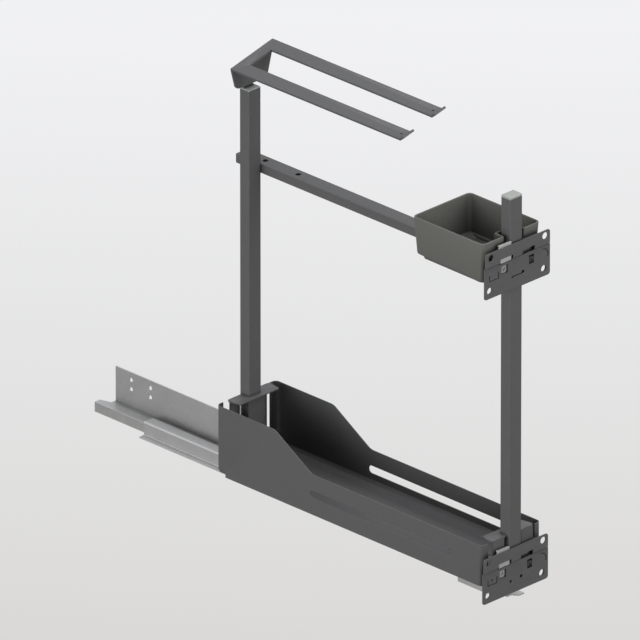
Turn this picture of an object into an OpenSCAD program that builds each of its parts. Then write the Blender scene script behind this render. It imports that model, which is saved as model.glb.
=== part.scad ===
// Pull-out towel rail for a narrow base cabinet. Two columns stand in a bottle tray, a cross rail
// carries a sponge box and a two-arm towel fork stands on the rear column. The frame rides on a
// telescopic runner at the right side of the cabinet and carries two adjustable door plates.
// It is drawn part way out. X runs across the cabinet, Y to its back and Z up. Sizes are first laid
// out from the front column's middle and the tray's lower edge, then moved to the runner's rear
// screw pattern, which is the origin.

/* [Cabinet rail] */
// Clear width between the cabinet sides
cab_w = 118; // [114:1:126]
// Length of the cabinet rail
rail_len = 461.5; // [455:0.5:490]
// Sheet thickness of the cabinet rail
rail_t = 1.5; // [1.2:0.1:1.8]
// Height of the screw plate above the rail's flange
screw_plate_h = 44.6; // [38:0.1:52]
// Level of the rail's flange under the tray's lower edge
flange_drop = 31.7; // [31:0.1:34]
// Distance from the cabinet side to the rail's near wall
rail_reach = 21.7; // [21.2:0.1:22.2]
// Depth of the rail's channel
channel_h = 12.5; // [11.8:0.1:13]
// How far the channel's tongue runs past the screw plate
tongue_len = 14.8; // [8:0.1:20]
// Hole pitch along the cabinet
hole_pitch_y = 32; // [28:0.5:36]
// Hole pitch up the cabinet
hole_pitch_z = 12; // [10:0.5:14]
// Screw hole of the runner
hole_d = 5.5; // [4.5:0.1:6.5]
// How far the frame stands out of its closed place
out_now = 270.4; // [255:0.1:285]

/* [Telescopic runner] */
// How much shorter the middle rail is than the cabinet rail
mid_short = 31.5; // [17:0.5:46]
// How far the middle rail stands out of its closed place
mid_out = 84; // [70:0.5:95]
// Sheet thickness of the middle rail
mid_t = 1.3; // [1.1:0.1:1.5]
// Gap between the middle rail's roof and the cabinet rail
roof_gap = 1.6; // [1.3:0.1:1.9]
// Width of the middle rail's roof
roof_w = 14.5; // [13:0.1:15]
// Width of the middle rail's outer lip
lip_w = 8; // [7:0.1:8.4]
// Running gap beside sliding sheet
slide_gap = 0.5; // [0.4:0.05:0.6]
// Ball of the outer stage
outer_ball_d = 5.3; // [5:0.1:5.4]
// Balls in a row of the outer stage
outer_ball_n = 9; // [6:1:11]
// Ball above the middle rail's roof
roof_ball_d = 4.2; // [3.8:0.1:4.6]
// Ball above the middle rail's lip
lip_ball_d = 2.6; // [2.4:0.1:2.8]
// Balls in a row of the inner stage
inner_ball_n = 8; // [5:1:10]
// Pitch of the balls in a row
ball_pitch = 26; // [22:0.5:27]
// Running gap round a ball
ball_gap = 0.3; // [0.25:0.05:0.35]
// Cage sheet
cage_t = 0.8; // [0.6:0.1:0.9]
// Sheet thickness of the carriage rail
car_t = 1.2; // [1:0.1:1.4]
// Sheet thickness of the two brackets under the tray
foot_t = 1.5; // [1.2:0.1:2]

/* [Columns] */
// Width of a column across the cabinet
col_w = 20; // [18:0.5:21]
// Depth of a column
col_d = 15; // [14:0.5:16]
// Wall of the column tube
col_wall = 1.5; // [1:0.1:2]
// Corner radius of the column tube
col_r = 1.2; // [0.6:0.1:2]
// How much shorter the distance of the columns is than the cabinet rail
pitch_short = 35.5; // [20:0.5:60]
// Top of the column tubes above the tray's lower edge
col_top = 481; // [470:1:520]
// Height of a column cap above the tube
cap_h = 3; // [1.5:0.1:5]

/* [Tray] */
// Outer width of the tray
tray_w = 98; // [94:0.5:100]
// Sheet thickness of the tray
tray_t = 1.2; // [1:0.1:1.5]
// Height of the tray's low side
low_h = 51.5; // [46:0.5:54]
// Height of the tray's high rear part
high_h = 88.7; // [80:0.1:100]
// Length of the high part
high_len = 96; // [80:1:110]
// Length of the slope between high and low side
slope_len = 61.5; // [50:0.5:80]
// Level of the tray's floor above its lower edge
floor_z = 5; // [4.5:0.1:6]
// Radius between floor and side
floor_r = 10; // [6:0.5:12]
// Radius of the tray's upright corners
tray_r = 6; // [4:0.5:8]
// Width of the inward flange at each end, with its corner
end_flange = 10.7; // [9:0.1:11.5]
// Height of the long slot in each side
slot_h = 9.7; // [7:0.1:12]
// Level of the slot's lower edge
slot_z = 21.5; // [18:0.5:26]
// Distance from the tray's front to the slot
slot_front = 46.3; // [40:0.5:60]
// Length of the slot
slot_len = 234; // [200:1:240]

/* [Column brackets] */
// Sheet thickness of the column brackets
brk_t = 1.5; // [1.2:0.1:1.7]
// Width of a bracket at the tray's end
brk_w = 71; // [66:0.5:73]
// Width of a bracket towards the tray's middle
brk_in_w = 64; // [60:0.5:66]
// Depth of a bracket
brk_d = 19.5; // [18.5:0.1:22]
// Top of the front bracket above the tray's lower edge
front_brk_top = 53.8; // [50:0.1:58]
// Top of the rear bracket above the tray's lower edge
rear_brk_top = 91; // [86:0.1:98]

/* [Cross rail] */
// Width of the cross rail
xr_w = 20; // [18:0.5:22]
// Height of the cross rail
xr_h = 12; // [10:0.5:14]
// How far the cross rail's top lies under the top of the column tubes
xr_drop = 97.6; // [90:0.1:140]
// How far the cross rail runs past the rear column
xr_tail = 25.5; // [18:0.5:34]
// Hole in the rail's top for hooks
xr_hole_d = 7; // [5:0.1:8]

/* [Sponge box] */
// Width of the box at its rim
box_w = 94.6; // [84:0.1:100]
// Length of the box at its rim
box_l = 115.1; // [95:0.1:130]
// Height of the box
box_h = 52.5; // [44:0.1:60]
// Wall of the box
box_t = 2; // [1.6:0.1:2.4]
// How much each side draws in towards the bottom
box_draft = 2.6; // [0.5:0.1:3.5]
// Corner radius of the box
box_r = 6; // [4:0.5:9]

/* [Towel fork] */
// Reach of the fork's arms in front of the rear column's middle
fork_len = 275; // [240:1:300]
// Width across both arms
fork_w = 70.9; // [66:0.1:74]
// Width of one arm
arm_w = 17.7; // [14:0.1:20]
// Width of the cross piece
fork_bar = 15; // [12:0.5:20]
// Sheet thickness of the fork
fork_t = 2.8; // [2:0.1:3.2]
// Sideways tilt of the fork
fork_tilt = 13.6; // [8:0.2:16]
// Height of the fork's middle above the column tube
fork_rise = 41.8; // [38:0.1:48]
// Length of the upturned tip
tip_len = 9.4; // [6:0.1:12]
// Rise angle of the upturned tip
tip_angle = 38; // [25:1:50]

/* [Door plates] */
// Width of a door plate
plate_w = 106; // [102:0.5:110]
// Height of a door plate
plate_h = 58.5; // [57:0.1:60]
// Sheet thickness of a door plate
plate_t = 1.2; // [1:0.1:1.3]
// Forward step of the plate's upper strip
step_y = 1.8; // [1.7:0.1:2]
// How far in from the plate's ends the door screws sit
door_inset = 8.8; // [7:0.1:9]
// Upright distance of the door screws
door_pitch_z = 42.1; // [41:0.1:43]
// Door screw hole
door_hole_d = 8.4; // [8:0.1:10]
// How far the upper plate's lower edge hangs under the top of the cross rail
upper_plate_hang = 15.5; // [8.4:0.1:16.4]
// Lower edge of the lower plate under the tray's lower edge
lower_plate_drop = 19.7; // [19:0.1:20.5]
// Sideways set of the lower plate
lower_plate_shift = -1.3; // [-1.4:0.1:1.4]
// Largest height and side adjustment each way
adjust = 1.5; // [1:0.1:1.6]

/* [Hidden] */

$fn = 48;
// Small allowance that makes a cut run past a face
over = 1;
// Gap between pieces that meet without being fixed
fit = 0.1;
// Height of a slab that only shapes a hull
thin = 0.1;
dark = [0.27, 0.27, 0.275];
zinc = [0.68, 0.68, 0.68];
cap_grey = [0.62, 0.64, 0.62];
box_grey = [0.40, 0.40, 0.375];
black = [0.09, 0.09, 0.09];
steel = [0.72, 0.72, 0.73];

// Cabinet side and rail
col_pitch = rail_len - pitch_short;
wall_x = cab_w / 2;
door_gap = 2;
plate_back_y = -col_d / 2 - fit;
plate_face_y = plate_back_y - plate_t - step_y;
rail_setback = 0.2;
cab_edge_y = out_now + plate_face_y + door_gap;
rail_front_y = cab_edge_y + rail_setback;
rail_rear_y = rail_front_y + rail_len;
plate_rear_y = rail_rear_y - tongue_len;
flange_z = -flange_drop;
near_x = wall_x - rail_reach;
channel_z = flange_z - channel_h;
plate_top_z = flange_z + screw_plate_h;
// Setback of the first hole from the cabinet's edge
first_hole = 37;
rear_hole_n = 11;
mid_hole_n = 6;
pattern_y = cab_edge_y + first_hole + (rear_hole_n + 0.5) * hole_pitch_y;
pattern_drop = 15.65;
pattern_z = plate_top_z - pattern_drop;
tongue_tip_w = 8.7;
tongue_root_w = 13.4;

// Middle rail, outside the cabinet rail
mid_x = near_x - slide_gap - mid_t;
mid_top = flange_z + roof_gap + mid_t;
mid_floor_gap = 2;
mid_floor_top = channel_z - mid_floor_gap;
mid_low = mid_floor_top - mid_t;
mid_rear_y = rail_rear_y - mid_out;
mid_len = rail_len - mid_short;
mid_front_y = mid_rear_y - mid_len;
outer_race = outer_ball_d + 2 * ball_gap;
track_x = near_x + rail_t + outer_race;
track_gap = 2;
track_top = flange_z - rail_t - track_gap;
far_wall_x = track_x + mid_t + outer_race;
outer_row_x = [track_x - outer_race / 2, track_x + mid_t + outer_race / 2];
outer_row_drop = 1.2;
outer_row_z = (flange_z - rail_t + channel_z) / 2 - outer_row_drop;
buffer_len = 9;
buffer_gap = 0.5;

// Carriage rail, outside the middle rail
roof_race = roof_ball_d + 2 * ball_gap;
lip_race = lip_ball_d + 2 * ball_gap;
car_roof_z = mid_top + roof_race;
car_top = car_roof_z + car_t;
lip_top = mid_floor_top;
lip_x = mid_x - lip_w;
skirt_gap = 0.3;
skirt_w = 4;
skirt_x = lip_x - skirt_gap - car_t;
car_wall_x = skirt_x + skirt_w;
car_flange_z = lip_top + lip_race;
hook_gap = 0.4;
hook_z = mid_low - hook_gap;
car_low = hook_z - car_t;
car_right = mid_x + roof_w;
closed_gap = 3.1;
hook_short = 1;
car_rear_y = rail_rear_y - out_now - closed_gap;
car_front_y = 31;
roof_row_x = mid_x + roof_w * 0.45;
lip_row_x = car_wall_x - 0.1;
lip_row_z = (lip_top + car_flange_z) / 2;
roof_row_z = (mid_top + car_roof_z) / 2;
cage_end = 7.5;
cage_lift = 0.4;
cage_foot = 0.6;
cage_leg = 1.8;
cage_short = 2;
outer_cage_y = rail_front_y + 0.5 * (mid_rear_y - rail_front_y) + 1;
inner_cage_y = mid_front_y + 0.5 * (car_rear_y - mid_front_y);

// Columns
front_y = 0;
rear_y = col_pitch;
floor_t = tray_t;
floor_under = floor_z - floor_t;
cap_dome = 1.2;
cap_plug = 10;
plug_h = 17;
plug_wall = 2;
foot_screw_d = 6;

// Door plate unit, measured from the plate's middle and its lower edge
lower_z = -lower_plate_drop;
upper_z = col_top - xr_drop - upper_plate_hang;
step_z = [39, 41];
door_pitch_x = plate_w - 2 * door_inset;
hole_low = (plate_h - door_pitch_z) / 2 + 1.6;
collar_d = door_hole_d + 2.4;
collar_len = 1.4;
plate_r = 3.5;
cam_window = 10.2;
hook_t = 1.2;
hook_rise = 3.6;
hook_lip = 2.4;
hook_lip_right = -10.8;
hook_x = [-30, -9.7];
hook_neck_left = -27;
hook_neck_top = 46.8;
hook_window_top = 45.1;
hook_low_x = [-28.5, -12];
hook_front_y = plate_back_y - step_y + fit;
hook_back_y = plate_back_y + 2.7;
hook_low_z = 15.5;
pin_at = [-25.1, 21];
pin_d = 2.6;
pin_room = pin_d / 2 + 0.3;
hook_step_z = 38.8;
carrier_t = 1.1;
ear_front_y = hook_back_y + 0.05;
ear_back_y = ear_front_y + carrier_t;
ear_x = [-33, 38];
ear_z = [17, 56];
cheek_z = 27;
cheek_top = ear_z[1] - 7;
cam_e = adjust / sin(45);
cam_d = 7;
cam_play = 0.3;
shaft_d = 4;
shaft_hole = shaft_d + 2 * cam_play;
neck_d = 5.6;
disc_over = 0.2;
disc_cut = 1;
disc_socket_d = 3.4;
head_d = 11;
cross_cut = [5.2, 1.6, 1.1];
cross_turn = 20;
height_cam_at = [-20.1, 29.6];
side_cam_at = [24, 28.9];
slot_play = 0.3;
hook_room = 0.8;
long_window_x = [7.8, 27.7];
long_window_z = [38.5, 44.6];
long_step_x = 19.2;
long_step_top = 45.6;
pilot_at = [10, 17];
pilot_d = 4.4;
end_dot_at = [-7.3, 15.9];
end_dot_d = 3.4;
mid_slit_z = [15.2, 16.8];
tab_dot_at = [-37.7, 27.6];
tab_dot_d = 3;
slit_w = 1.5;
groove_floor = 0.4;
tab_x = [-plate_w / 2 + 7.6, -29.3];
tab_z = [21.3, 28.5, 30];
ring_at = [plate_w / 2 - 9.5, 27];
ring_r = 7.5;
ring_turn = [-25, 95];
end_notch = 1.6;
plate_out = 1.4;
strip_in = 0.5;
bridge_x = [-14, 18];
bridge_z = [10.5, 18];
bolt_d = 4;
bolt_z = 46;
bolt_y = 2;
bolt_room = 4.6;

// Tray
tray_front_y = -1.3;
tray_rear_y = col_pitch + col_d / 2 + fit;
half_w = tray_w / 2;
in_w = half_w - tray_t;
slope_r = [18, 16];
notch_len = 15;
notch_h = 6.5;

// Column brackets
front_brk_out = -ear_back_y - 0.15;
rear_brk_out = 4.8;
front_leg_set = 2.5;
rear_leg_set = 5.2;
brk_foot = 12;
channel_half = 14;
channel_depth = 10.7;
leg_in = channel_half;
channel_gap = 1.5;

// Brackets under the tray
foot_web_x = skirt_x - 7.55;
foot_low = car_low - foot_t;
foot_left = -14;
foot_rear_y = 104;
foot_front_y = 25.7;
foot_slant_x = 21.95;
foot_slant_y = 31.2;
foot_tip_y = ear_back_y + 0.3;
foot_inset = 1;
rear_foot_len = 53.5;
rear_foot_y = [col_pitch + col_d / 2 - rear_foot_len, col_pitch + col_d / 2];
rear_foot_x = car_wall_x + car_t;
tray_screw_d = 5;
front_screw_at = [[-6, 42], [-6, 88], [8, 42], [8, 88]];
rear_screw_at = [[-6, rear_foot_y[0] + 8], [-6, rear_foot_y[0] + 24],
                 [8, rear_foot_y[0] + 8], [8, rear_foot_y[0] + 24]];
rivet_d = 5;
rivet_head_d = 8;
rivet_head = 1;
rivet_edge = 9;

// Screws, nuts and rivets
play = 0.4;
foot_head_d = 11;
foot_head_h = 3.4;
foot_socket_d = 4.6;
foot_socket_h = 2.4;
foot_head_z = floor_under - foot_t - foot_head_h;
foot_screw_short = 4;
tray_head_d = [9.4, 6.5];
tray_head_h = 2.4;
tray_socket_d = 3;
tray_socket_h = 1.6;
tray_nut_d = 9.2;
tray_nut_h = 4;
tray_screw_tail = 6;
rail_head_d = 9;
rail_head_h = 2.6;
rail_socket_d = 3.5;
rail_socket_h = 1.6;
rail_screw_tail = 6;
fork_screw_d = 3;
fork_head_d = 5.6;
fork_head_h = 1.6;
bolt_tail = 3.6;
bolt_head_d = 7.4;
bolt_head_h = 2.2;
bolt_nut_d = 7.8;
bolt_nut_h = 3.2;
bolt_socket_d = 2.9;
bolt_socket_h = 1.3;

// Cross rail
xr_x = col_w / 2;
xr_front_y = -6.5;
xr_rear_y = rear_y + col_d / 2 + xr_tail;
xr_top = col_top - xr_drop;
xr_z = xr_top - xr_h;
xr_wall = 1.5;
xr_r = 1;
xr_screw_d = 5;
xr_hole_y = [rear_y - 4.4, rear_y - 58.8];
xr_lip = 1;
xr_plug = 3;

// Sponge box
box_front_y = -3.2;
box_mid_x = -2.7;
box_z = xr_top + fit;
recess_x = [-14.8, 16.5];
recess_y = 10;
box_step = 4;
box_foot_r = 5;
box_foot_in = 1.46;
box_step_len = 12.5;
rib_gap = 0.3;
rib_t = 1.6;
rib_h = 6;
rib_short = 20;
rib_y = [box_front_y + rib_short, box_front_y + box_l - rib_short];

// Towel fork
fork_x = 4.05;
fork_z = col_top + fork_rise;
fork_rear_y = rear_y + 2;
fork_front_y = rear_y - fork_len;
bracket_taper = 15;
bracket_low = col_top + 5.5;
bracket_r = 6;
fork_screw_x = [-4, 4];
fork_screw_z = bracket_low + 8;
tip_hole_d = 2.4;
tip_hole_in = 6;
tongue_top = bracket_low + 14;
tongue_x = [-7, 7];
tongue_t = 2.5;
tongue_y = [fork_rear_y, fork_rear_y + tongue_t];
fork_screw_deep = 1.8;
tongue_deep = 32;

// A straight bar along Y with a section drawn in X and Z
module along_y(y) {
    translate([0, y[1], 0]) rotate([90, 0, 0]) linear_extrude(height = y[1] - y[0]) children();
}

// A straight bar along X with a section drawn in Y and Z
module along_x(x) {
    translate([x[0], 0, 0]) rotate([90, 0, 90]) linear_extrude(height = x[1] - x[0]) children();
}

module bar(a, b) {
    translate([a[0], b[0]]) square([a[1] - a[0], b[1] - b[0]]);
}

module block(x, y, z) {
    translate([x[0], y[0], z[0]]) cube([x[1] - x[0], y[1] - y[0], z[1] - z[0]]);
}

module round_bar(a, b, r) {
    bar([a[0] + r, a[1] - r], b);
    bar(a, [b[0] + r, b[1] - r]);
    for (x = [a[0] + r, a[1] - r], y = [b[0] + r, b[1] - r]) translate([x, y]) circle(r = r);
}

module pin_x(x, y, z, d) {
    translate([x[0], y, z]) rotate([0, 90, 0]) cylinder(h = x[1] - x[0], d = d);
}

module pin_y(x, y, z, d) {
    translate([x, y[1], z]) rotate([90, 0, 0]) cylinder(h = y[1] - y[0], d = d);
}

module pin_z(x, y, z, d) {
    translate([x, y, z[0]]) cylinder(h = z[1] - z[0], d = d);
}

module hex_x(x, y, z, d) {
    translate([x[0], y, z]) rotate([0, 90, 0]) cylinder(h = x[1] - x[0], d = d, $fn = 6);
}

module hex_z(x, y, z, d) {
    translate([x, y, z[0]]) cylinder(h = z[1] - z[0], d = d, $fn = 6);
}

function unit(v) = v / norm(v);

// Points of a round corner at p between its neighbours a and b
function corner(a, p, b, r, n = 8) = r <= 0 ? [p] :
    let (u = unit(a - p), v = unit(b - p), half = acos(max(-1, min(1, u * v))) / 2,
         c = p + unit(u + v) * r / sin(half), s = p + u * r / tan(half), e = p + v * r / tan(half),
         a0 = atan2(s[1] - c[1], s[0] - c[0]), turn = atan2(e[1] - c[1], e[0] - c[0]) - a0,
         sweep = turn > 180 ? turn - 360 : turn < -180 ? turn + 360 : turn)
    [for (i = [0:n]) c + r * [cos(a0 + sweep * i / n), sin(a0 + sweep * i / n)]];

function rounded(pts, radii) = let (m = len(pts))
    [for (i = [0:m - 1]) each corner(pts[(i + m - 1) % m], pts[i], pts[(i + 1) % m], radii[i])];

// Moves the layout to the runner's rear screw pattern on the cabinet side
module placed() {
    translate([-wall_x, -pattern_y, -pattern_z]) children();
}

// Runner

module side_holes() {
    for (n = [0, mid_hole_n, rear_hole_n], i = [0, 1], j = [-0.5, 0.5])
        pin_x([wall_x - rail_t - over, wall_x + over],
              cab_edge_y + first_hole + (n + i) * hole_pitch_y,
              pattern_z + j * hole_pitch_z, hole_d);
}

module cabinet_rail() color(zinc) placed() {
    difference() {
        union() {
            along_y([rail_front_y, plate_rear_y]) {
                bar([wall_x - rail_t, wall_x], [flange_z - rail_t, plate_top_z]);
                bar([near_x, wall_x], [flange_z - rail_t, flange_z]);
                bar([near_x, near_x + rail_t], [channel_z, flange_z]);
            }
            along_y([plate_rear_y - over, rail_rear_y])
                bar([near_x, near_x + rail_t], [channel_z, flange_z]);
            translate([0, 0, flange_z - rail_t]) linear_extrude(height = rail_t)
                polygon([[near_x, plate_rear_y - over], [near_x + tongue_root_w, plate_rear_y - over],
                         [near_x + tongue_root_w, plate_rear_y],
                         [near_x + tongue_tip_w, rail_rear_y],
                         [near_x, rail_rear_y]]);
        }
        side_holes();
    }
}

module cabinet_track_wall() color(zinc) placed()
    along_y([rail_front_y, plate_rear_y]) {
        bar([far_wall_x, wall_x - rail_t], [flange_z - 2 * rail_t, flange_z - rail_t]);
        bar([far_wall_x, far_wall_x + rail_t], [channel_z, flange_z - rail_t]);
    }

module closing_buffer() color(black) placed()
    block([near_x + rail_t, far_wall_x], [plate_rear_y - buffer_len, plate_rear_y],
          [channel_z, flange_z - rail_t]);

module middle_rail() color(zinc) placed()
    along_y([mid_front_y, mid_rear_y]) {
        bar([mid_x, mid_x + roof_w], [mid_top - mid_t, mid_top]);
        bar([mid_x, mid_x + mid_t], [mid_low, mid_top]);
        bar([lip_x, mid_x + mid_t], [mid_low, mid_floor_top]);
        bar([mid_x, track_x], [mid_low, mid_floor_top]);
    }

module middle_track() color(zinc) placed()
    along_y([mid_front_y, plate_rear_y - mid_out - buffer_len - buffer_gap])
        bar([track_x, track_x + mid_t], [mid_low, track_top]);

module ball_row(x, y, z, d, n) {
    for (i = [0:n - 1]) translate([x, y + (i - (n - 1) / 2) * ball_pitch, z]) sphere(d = d, $fn = 24);
}

// Ball pockets along a row, cut across a cage leg
module pockets_x(x, y, z, d, n) {
    for (i = [0:n - 1])
        pin_x([x - cage_t, x + cage_t], y + (i - (n - 1) / 2) * ball_pitch, z, d + 2 * ball_gap);
}

module pockets_z(x, y, z, d, n) {
    for (i = [0:n - 1])
        pin_z(x, y + (i - (n - 1) / 2) * ball_pitch, [z - cage_t, z + cage_t], d + 2 * ball_gap);
}

module outer_ball_cage() color(steel) placed() {
    half = (outer_ball_n - 1) * ball_pitch / 2 + cage_end;
    top = track_top + cage_lift;
    difference() {
        along_y([outer_cage_y - half, outer_cage_y + half]) {
            bar([outer_row_x[0] - cage_t / 2, outer_row_x[1] + cage_t / 2], [top, top + cage_t]);
            for (x = outer_row_x)
                bar([x - cage_t / 2, x + cage_t / 2], [channel_z + cage_foot, top + cage_t]);
        }
        for (x = outer_row_x) pockets_x(x, outer_cage_y, outer_row_z, outer_ball_d, outer_ball_n);
    }
}

module outer_balls() color(steel) placed()
    for (x = outer_row_x) ball_row(x, outer_cage_y, outer_row_z, outer_ball_d, outer_ball_n);

module inner_ball_cage() color(steel) placed() {
    half = (inner_ball_n - 1) * ball_pitch / 2 + cage_end;
    leg_x = car_wall_x + car_t + cage_leg;
    difference() {
        along_y([inner_cage_y - half, inner_cage_y + half]) {
            bar([leg_x, car_right - cage_short], [roof_row_z - cage_t / 2, roof_row_z + cage_t / 2]);
            bar([leg_x, leg_x + cage_t], [lip_row_z - cage_t / 2, roof_row_z + cage_t / 2]);
            bar([lip_x + fit, leg_x + cage_t], [lip_row_z - cage_t / 2, lip_row_z + cage_t / 2]);
        }
        pockets_z(roof_row_x, inner_cage_y, roof_row_z, roof_ball_d, inner_ball_n);
        pockets_z(lip_row_x, inner_cage_y, lip_row_z, lip_ball_d, inner_ball_n);
    }
}

module inner_balls() color(steel) placed() {
    ball_row(roof_row_x, inner_cage_y, roof_row_z, roof_ball_d, inner_ball_n);
    ball_row(lip_row_x, inner_cage_y, lip_row_z, lip_ball_d, inner_ball_n);
}

module carriage_rail() color(zinc) placed()
    difference() {
        along_y([car_front_y, car_rear_y]) {
            bar([car_wall_x, car_right], [car_roof_z, car_top]);
            bar([car_wall_x, car_wall_x + car_t], [car_flange_z, car_top]);
            bar([skirt_x, car_wall_x + car_t], [car_flange_z, car_flange_z + car_t]);
            bar([skirt_x, skirt_x + car_t], [car_low, car_flange_z + car_t]);
            bar([skirt_x, mid_x - hook_short], [car_low, hook_z]);
        }
        for (y = rivet_y_front) pin_z(rivet_x_front, y, [car_low - over, hook_z + over], rivet_d);
        for (y = rivet_y_rear) pin_z(rivet_x_rear, y, [car_roof_z - over, car_top + over], rivet_d);
    }

rivet_x_front = skirt_x + 4.6;
rivet_y_front = [48, 68, 88];
rivet_x_rear = rear_foot_x + rivet_edge;
rivet_y_rear = [rear_foot_y[0] + 8, rear_foot_y[0] + 24];

// Plan of the front bracket's lower plate, with the cut-off corner at its front
module foot_plan()
    polygon([[foot_web_x, foot_rear_y], [foot_web_x, foot_front_y + foot_slant_y],
             [foot_web_x + foot_slant_x, foot_front_y], [car_right - foot_inset, foot_front_y],
             [car_right - foot_inset, foot_rear_y]]);

module front_runner_bracket() color(zinc) placed()
    difference() {
        union() {
            translate([0, 0, foot_low]) linear_extrude(height = foot_t) foot_plan();
            block([foot_web_x, foot_web_x + foot_t], [foot_front_y + foot_slant_y, foot_rear_y],
                  [foot_low, floor_under]);
            block([foot_left, foot_web_x + foot_t], [foot_front_y + foot_slant_y, foot_rear_y],
                  [floor_under - foot_t, floor_under]);
            block([foot_left, -foot_left], [foot_tip_y, foot_front_y + foot_slant_y],
                  [floor_under - foot_t, floor_under]);
        }
        for (y = rivet_y_front) pin_z(rivet_x_front, y, [foot_low - over, car_low + over], rivet_d);
        for (p = front_screw_at)
            pin_z(p[0], p[1], [floor_under - foot_t - over, floor_under + over], tray_screw_d + play);
        pin_z(0, front_y, [floor_under - foot_t - over, floor_under + over], foot_screw_d + play);
    }

module rear_runner_bracket() color(zinc) placed()
    difference() {
        union() {
            block([rear_foot_x, car_right - foot_inset], rear_foot_y, [car_top, car_top + foot_t]);
            block([rear_foot_x, rear_foot_x + foot_t], rear_foot_y, [car_top, floor_under]);
            block([foot_left, rear_foot_x + foot_t], rear_foot_y, [floor_under - foot_t, floor_under]);
        }
        for (y = rivet_y_rear)
            pin_z(rivet_x_rear, y, [car_top - over, car_top + foot_t + over], rivet_d);
        for (p = rear_screw_at)
            pin_z(p[0], p[1], [floor_under - foot_t - over, floor_under + over], tray_screw_d + play);
        pin_z(0, rear_y, [floor_under - foot_t - over, floor_under + over], foot_screw_d + play);
    }

module runner_rivets() color(steel) placed() {
    for (y = rivet_y_front) {
        pin_z(rivet_x_front, y, [foot_low, hook_z], rivet_d);
        pin_z(rivet_x_front, y, [foot_low - rivet_head, foot_low], rivet_head_d);
    }
    for (y = rivet_y_rear) {
        pin_z(rivet_x_rear, y, [car_roof_z, car_top + foot_t], rivet_d);
        pin_z(rivet_x_rear, y, [car_top + foot_t, car_top + foot_t + rivet_head], rivet_head_d);
    }
}

// Tray

// Side view of the tray's side, as points in Y and Z
function side_profile() = let (y2 = tray_rear_y - high_len, y1 = y2 - slope_len)
    rounded([[tray_front_y - over, low_h], [y1, low_h], [y2, high_h], [tray_rear_y + over, high_h],
             [tray_rear_y + over, -over], [tray_front_y - over, -over]],
            [0, slope_r[0], slope_r[1], 0, 0, 0]);

module tray_plan(inset) {
    round_bar([-half_w + inset, half_w - inset], [tray_front_y + inset, tray_rear_y - inset],
              tray_r - inset);
}

// The tray's right side; the left one mirrors it
module tray_side() {
    y = tray_front_y + slot_front;
    difference() {
        intersection() {
            linear_extrude(height = high_h) difference() {
                tray_plan(0);
                tray_plan(tray_t);
                bar([-half_w - over, half_w - end_flange], [tray_front_y - over, tray_rear_y + over]);
            }
            along_x([0, half_w + over]) polygon(side_profile());
        }
        along_x([half_w - 2 * tray_t, half_w + over])
            round_bar([y, y + slot_len], [slot_z, slot_z + slot_h], slot_h / 2 - 0.01);
        block([half_w - end_flange - over, half_w + over],
              [tray_rear_y - notch_len, tray_rear_y + over], [-over, notch_h]);
    }
}

module tray_right_side() color(dark) placed() tray_side();
module tray_left_side() color(dark) placed() mirror([1, 0, 0]) tray_side();

// Hollow of the floor's section from the flat up to the side, on the side given by s
function floor_hollow(s) = let (steps = 10, r = floor_r, lean = 84)
    [for (i = [0:steps]) let (a = lean * i / steps)
        [s * (in_w - r + r * sin(a)), floor_z + r * (1 - cos(a))]];

function reverse(v) = [for (i = [len(v) - 1:-1:0]) v[i]];

module floor_section() {
    rim = floor_hollow(1)[10][1];
    polygon(concat([[-in_w, floor_under], [in_w, floor_under], [in_w, rim]],
                   reverse(floor_hollow(1)), floor_hollow(-1), [[-in_w, rim]]));
}

module tray_floor() color(dark) placed()
    difference() {
        intersection() {
            along_y([tray_front_y + tray_t, tray_rear_y - tray_t]) floor_section();
            linear_extrude(height = high_h) tray_plan(tray_t);
        }
        for (y = [front_y, rear_y])
            block([-col_w / 2 - fit, col_w / 2 + fit], [y - col_d / 2 - fit, y + col_d / 2 + fit],
                  [floor_under - over, floor_z + over]);
        for (p = concat(front_screw_at, rear_screw_at))
            pin_z(p[0], p[1], [floor_under - over, floor_z + over], tray_screw_d + play);
    }

module tray_screws() color(steel) placed()
    for (p = concat(front_screw_at, rear_screw_at)) difference() {
        union() {
            pin_z(p[0], p[1], [floor_under - foot_t - tray_screw_tail, floor_z], tray_screw_d);
            translate([p[0], p[1], floor_z])
                cylinder(h = tray_head_h, d1 = tray_head_d[0], d2 = tray_head_d[1]);
        }
        hex_z(p[0], p[1], [floor_z + tray_head_h - tray_socket_h, floor_z + tray_head_h + over],
              tray_socket_d);
    }

module tray_nuts() color(steel) placed()
    for (p = concat(front_screw_at, rear_screw_at)) difference() {
        hex_z(p[0], p[1], [floor_under - foot_t - tray_nut_h, floor_under - foot_t], tray_nut_d);
        pin_z(p[0], p[1], [floor_under - foot_t - tray_nut_h - over, floor_under], tray_screw_d);
    }

// Folded bracket that steadies a column, drawn for a column at Y 0 with the tray towards +Y
module column_bracket(top, out, depth, leg_set) {
    leg = brk_w / 2 - leg_set;
    difference() {
        union() {
            translate([0, 0, top - brk_t]) linear_extrude(height = brk_t)
                polygon(rounded([[-brk_w / 2, -out], [brk_w / 2, -out], [brk_in_w / 2, depth - out],
                                 [-brk_in_w / 2, depth - out]], [4, 4, 2, 2]));
            for (x = [[leg_in, leg], [-leg, -leg_in]]) {
                block(x, [-out, brk_t - out], [floor_z, top - brk_t / 2]);
                block(x, [-out, brk_foot - out], [floor_z, floor_z + brk_t]);
            }
        }
        block([-col_w / 2 - fit, col_w / 2 + fit], [-col_d, col_d / 2 + fit],
              [top - brk_t - over, top + over]);
    }
}

module column_channel(top) {
    y1 = col_d / 2 + channel_gap + brk_t;
    translate([0, 0, floor_z]) linear_extrude(height = top - brk_t - floor_z) difference() {
        bar([-channel_half, channel_half], [y1 - channel_depth, y1]);
        bar([-channel_half + brk_t, channel_half - brk_t], [y1 - channel_depth - over, y1 - brk_t]);
    }
}

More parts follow.
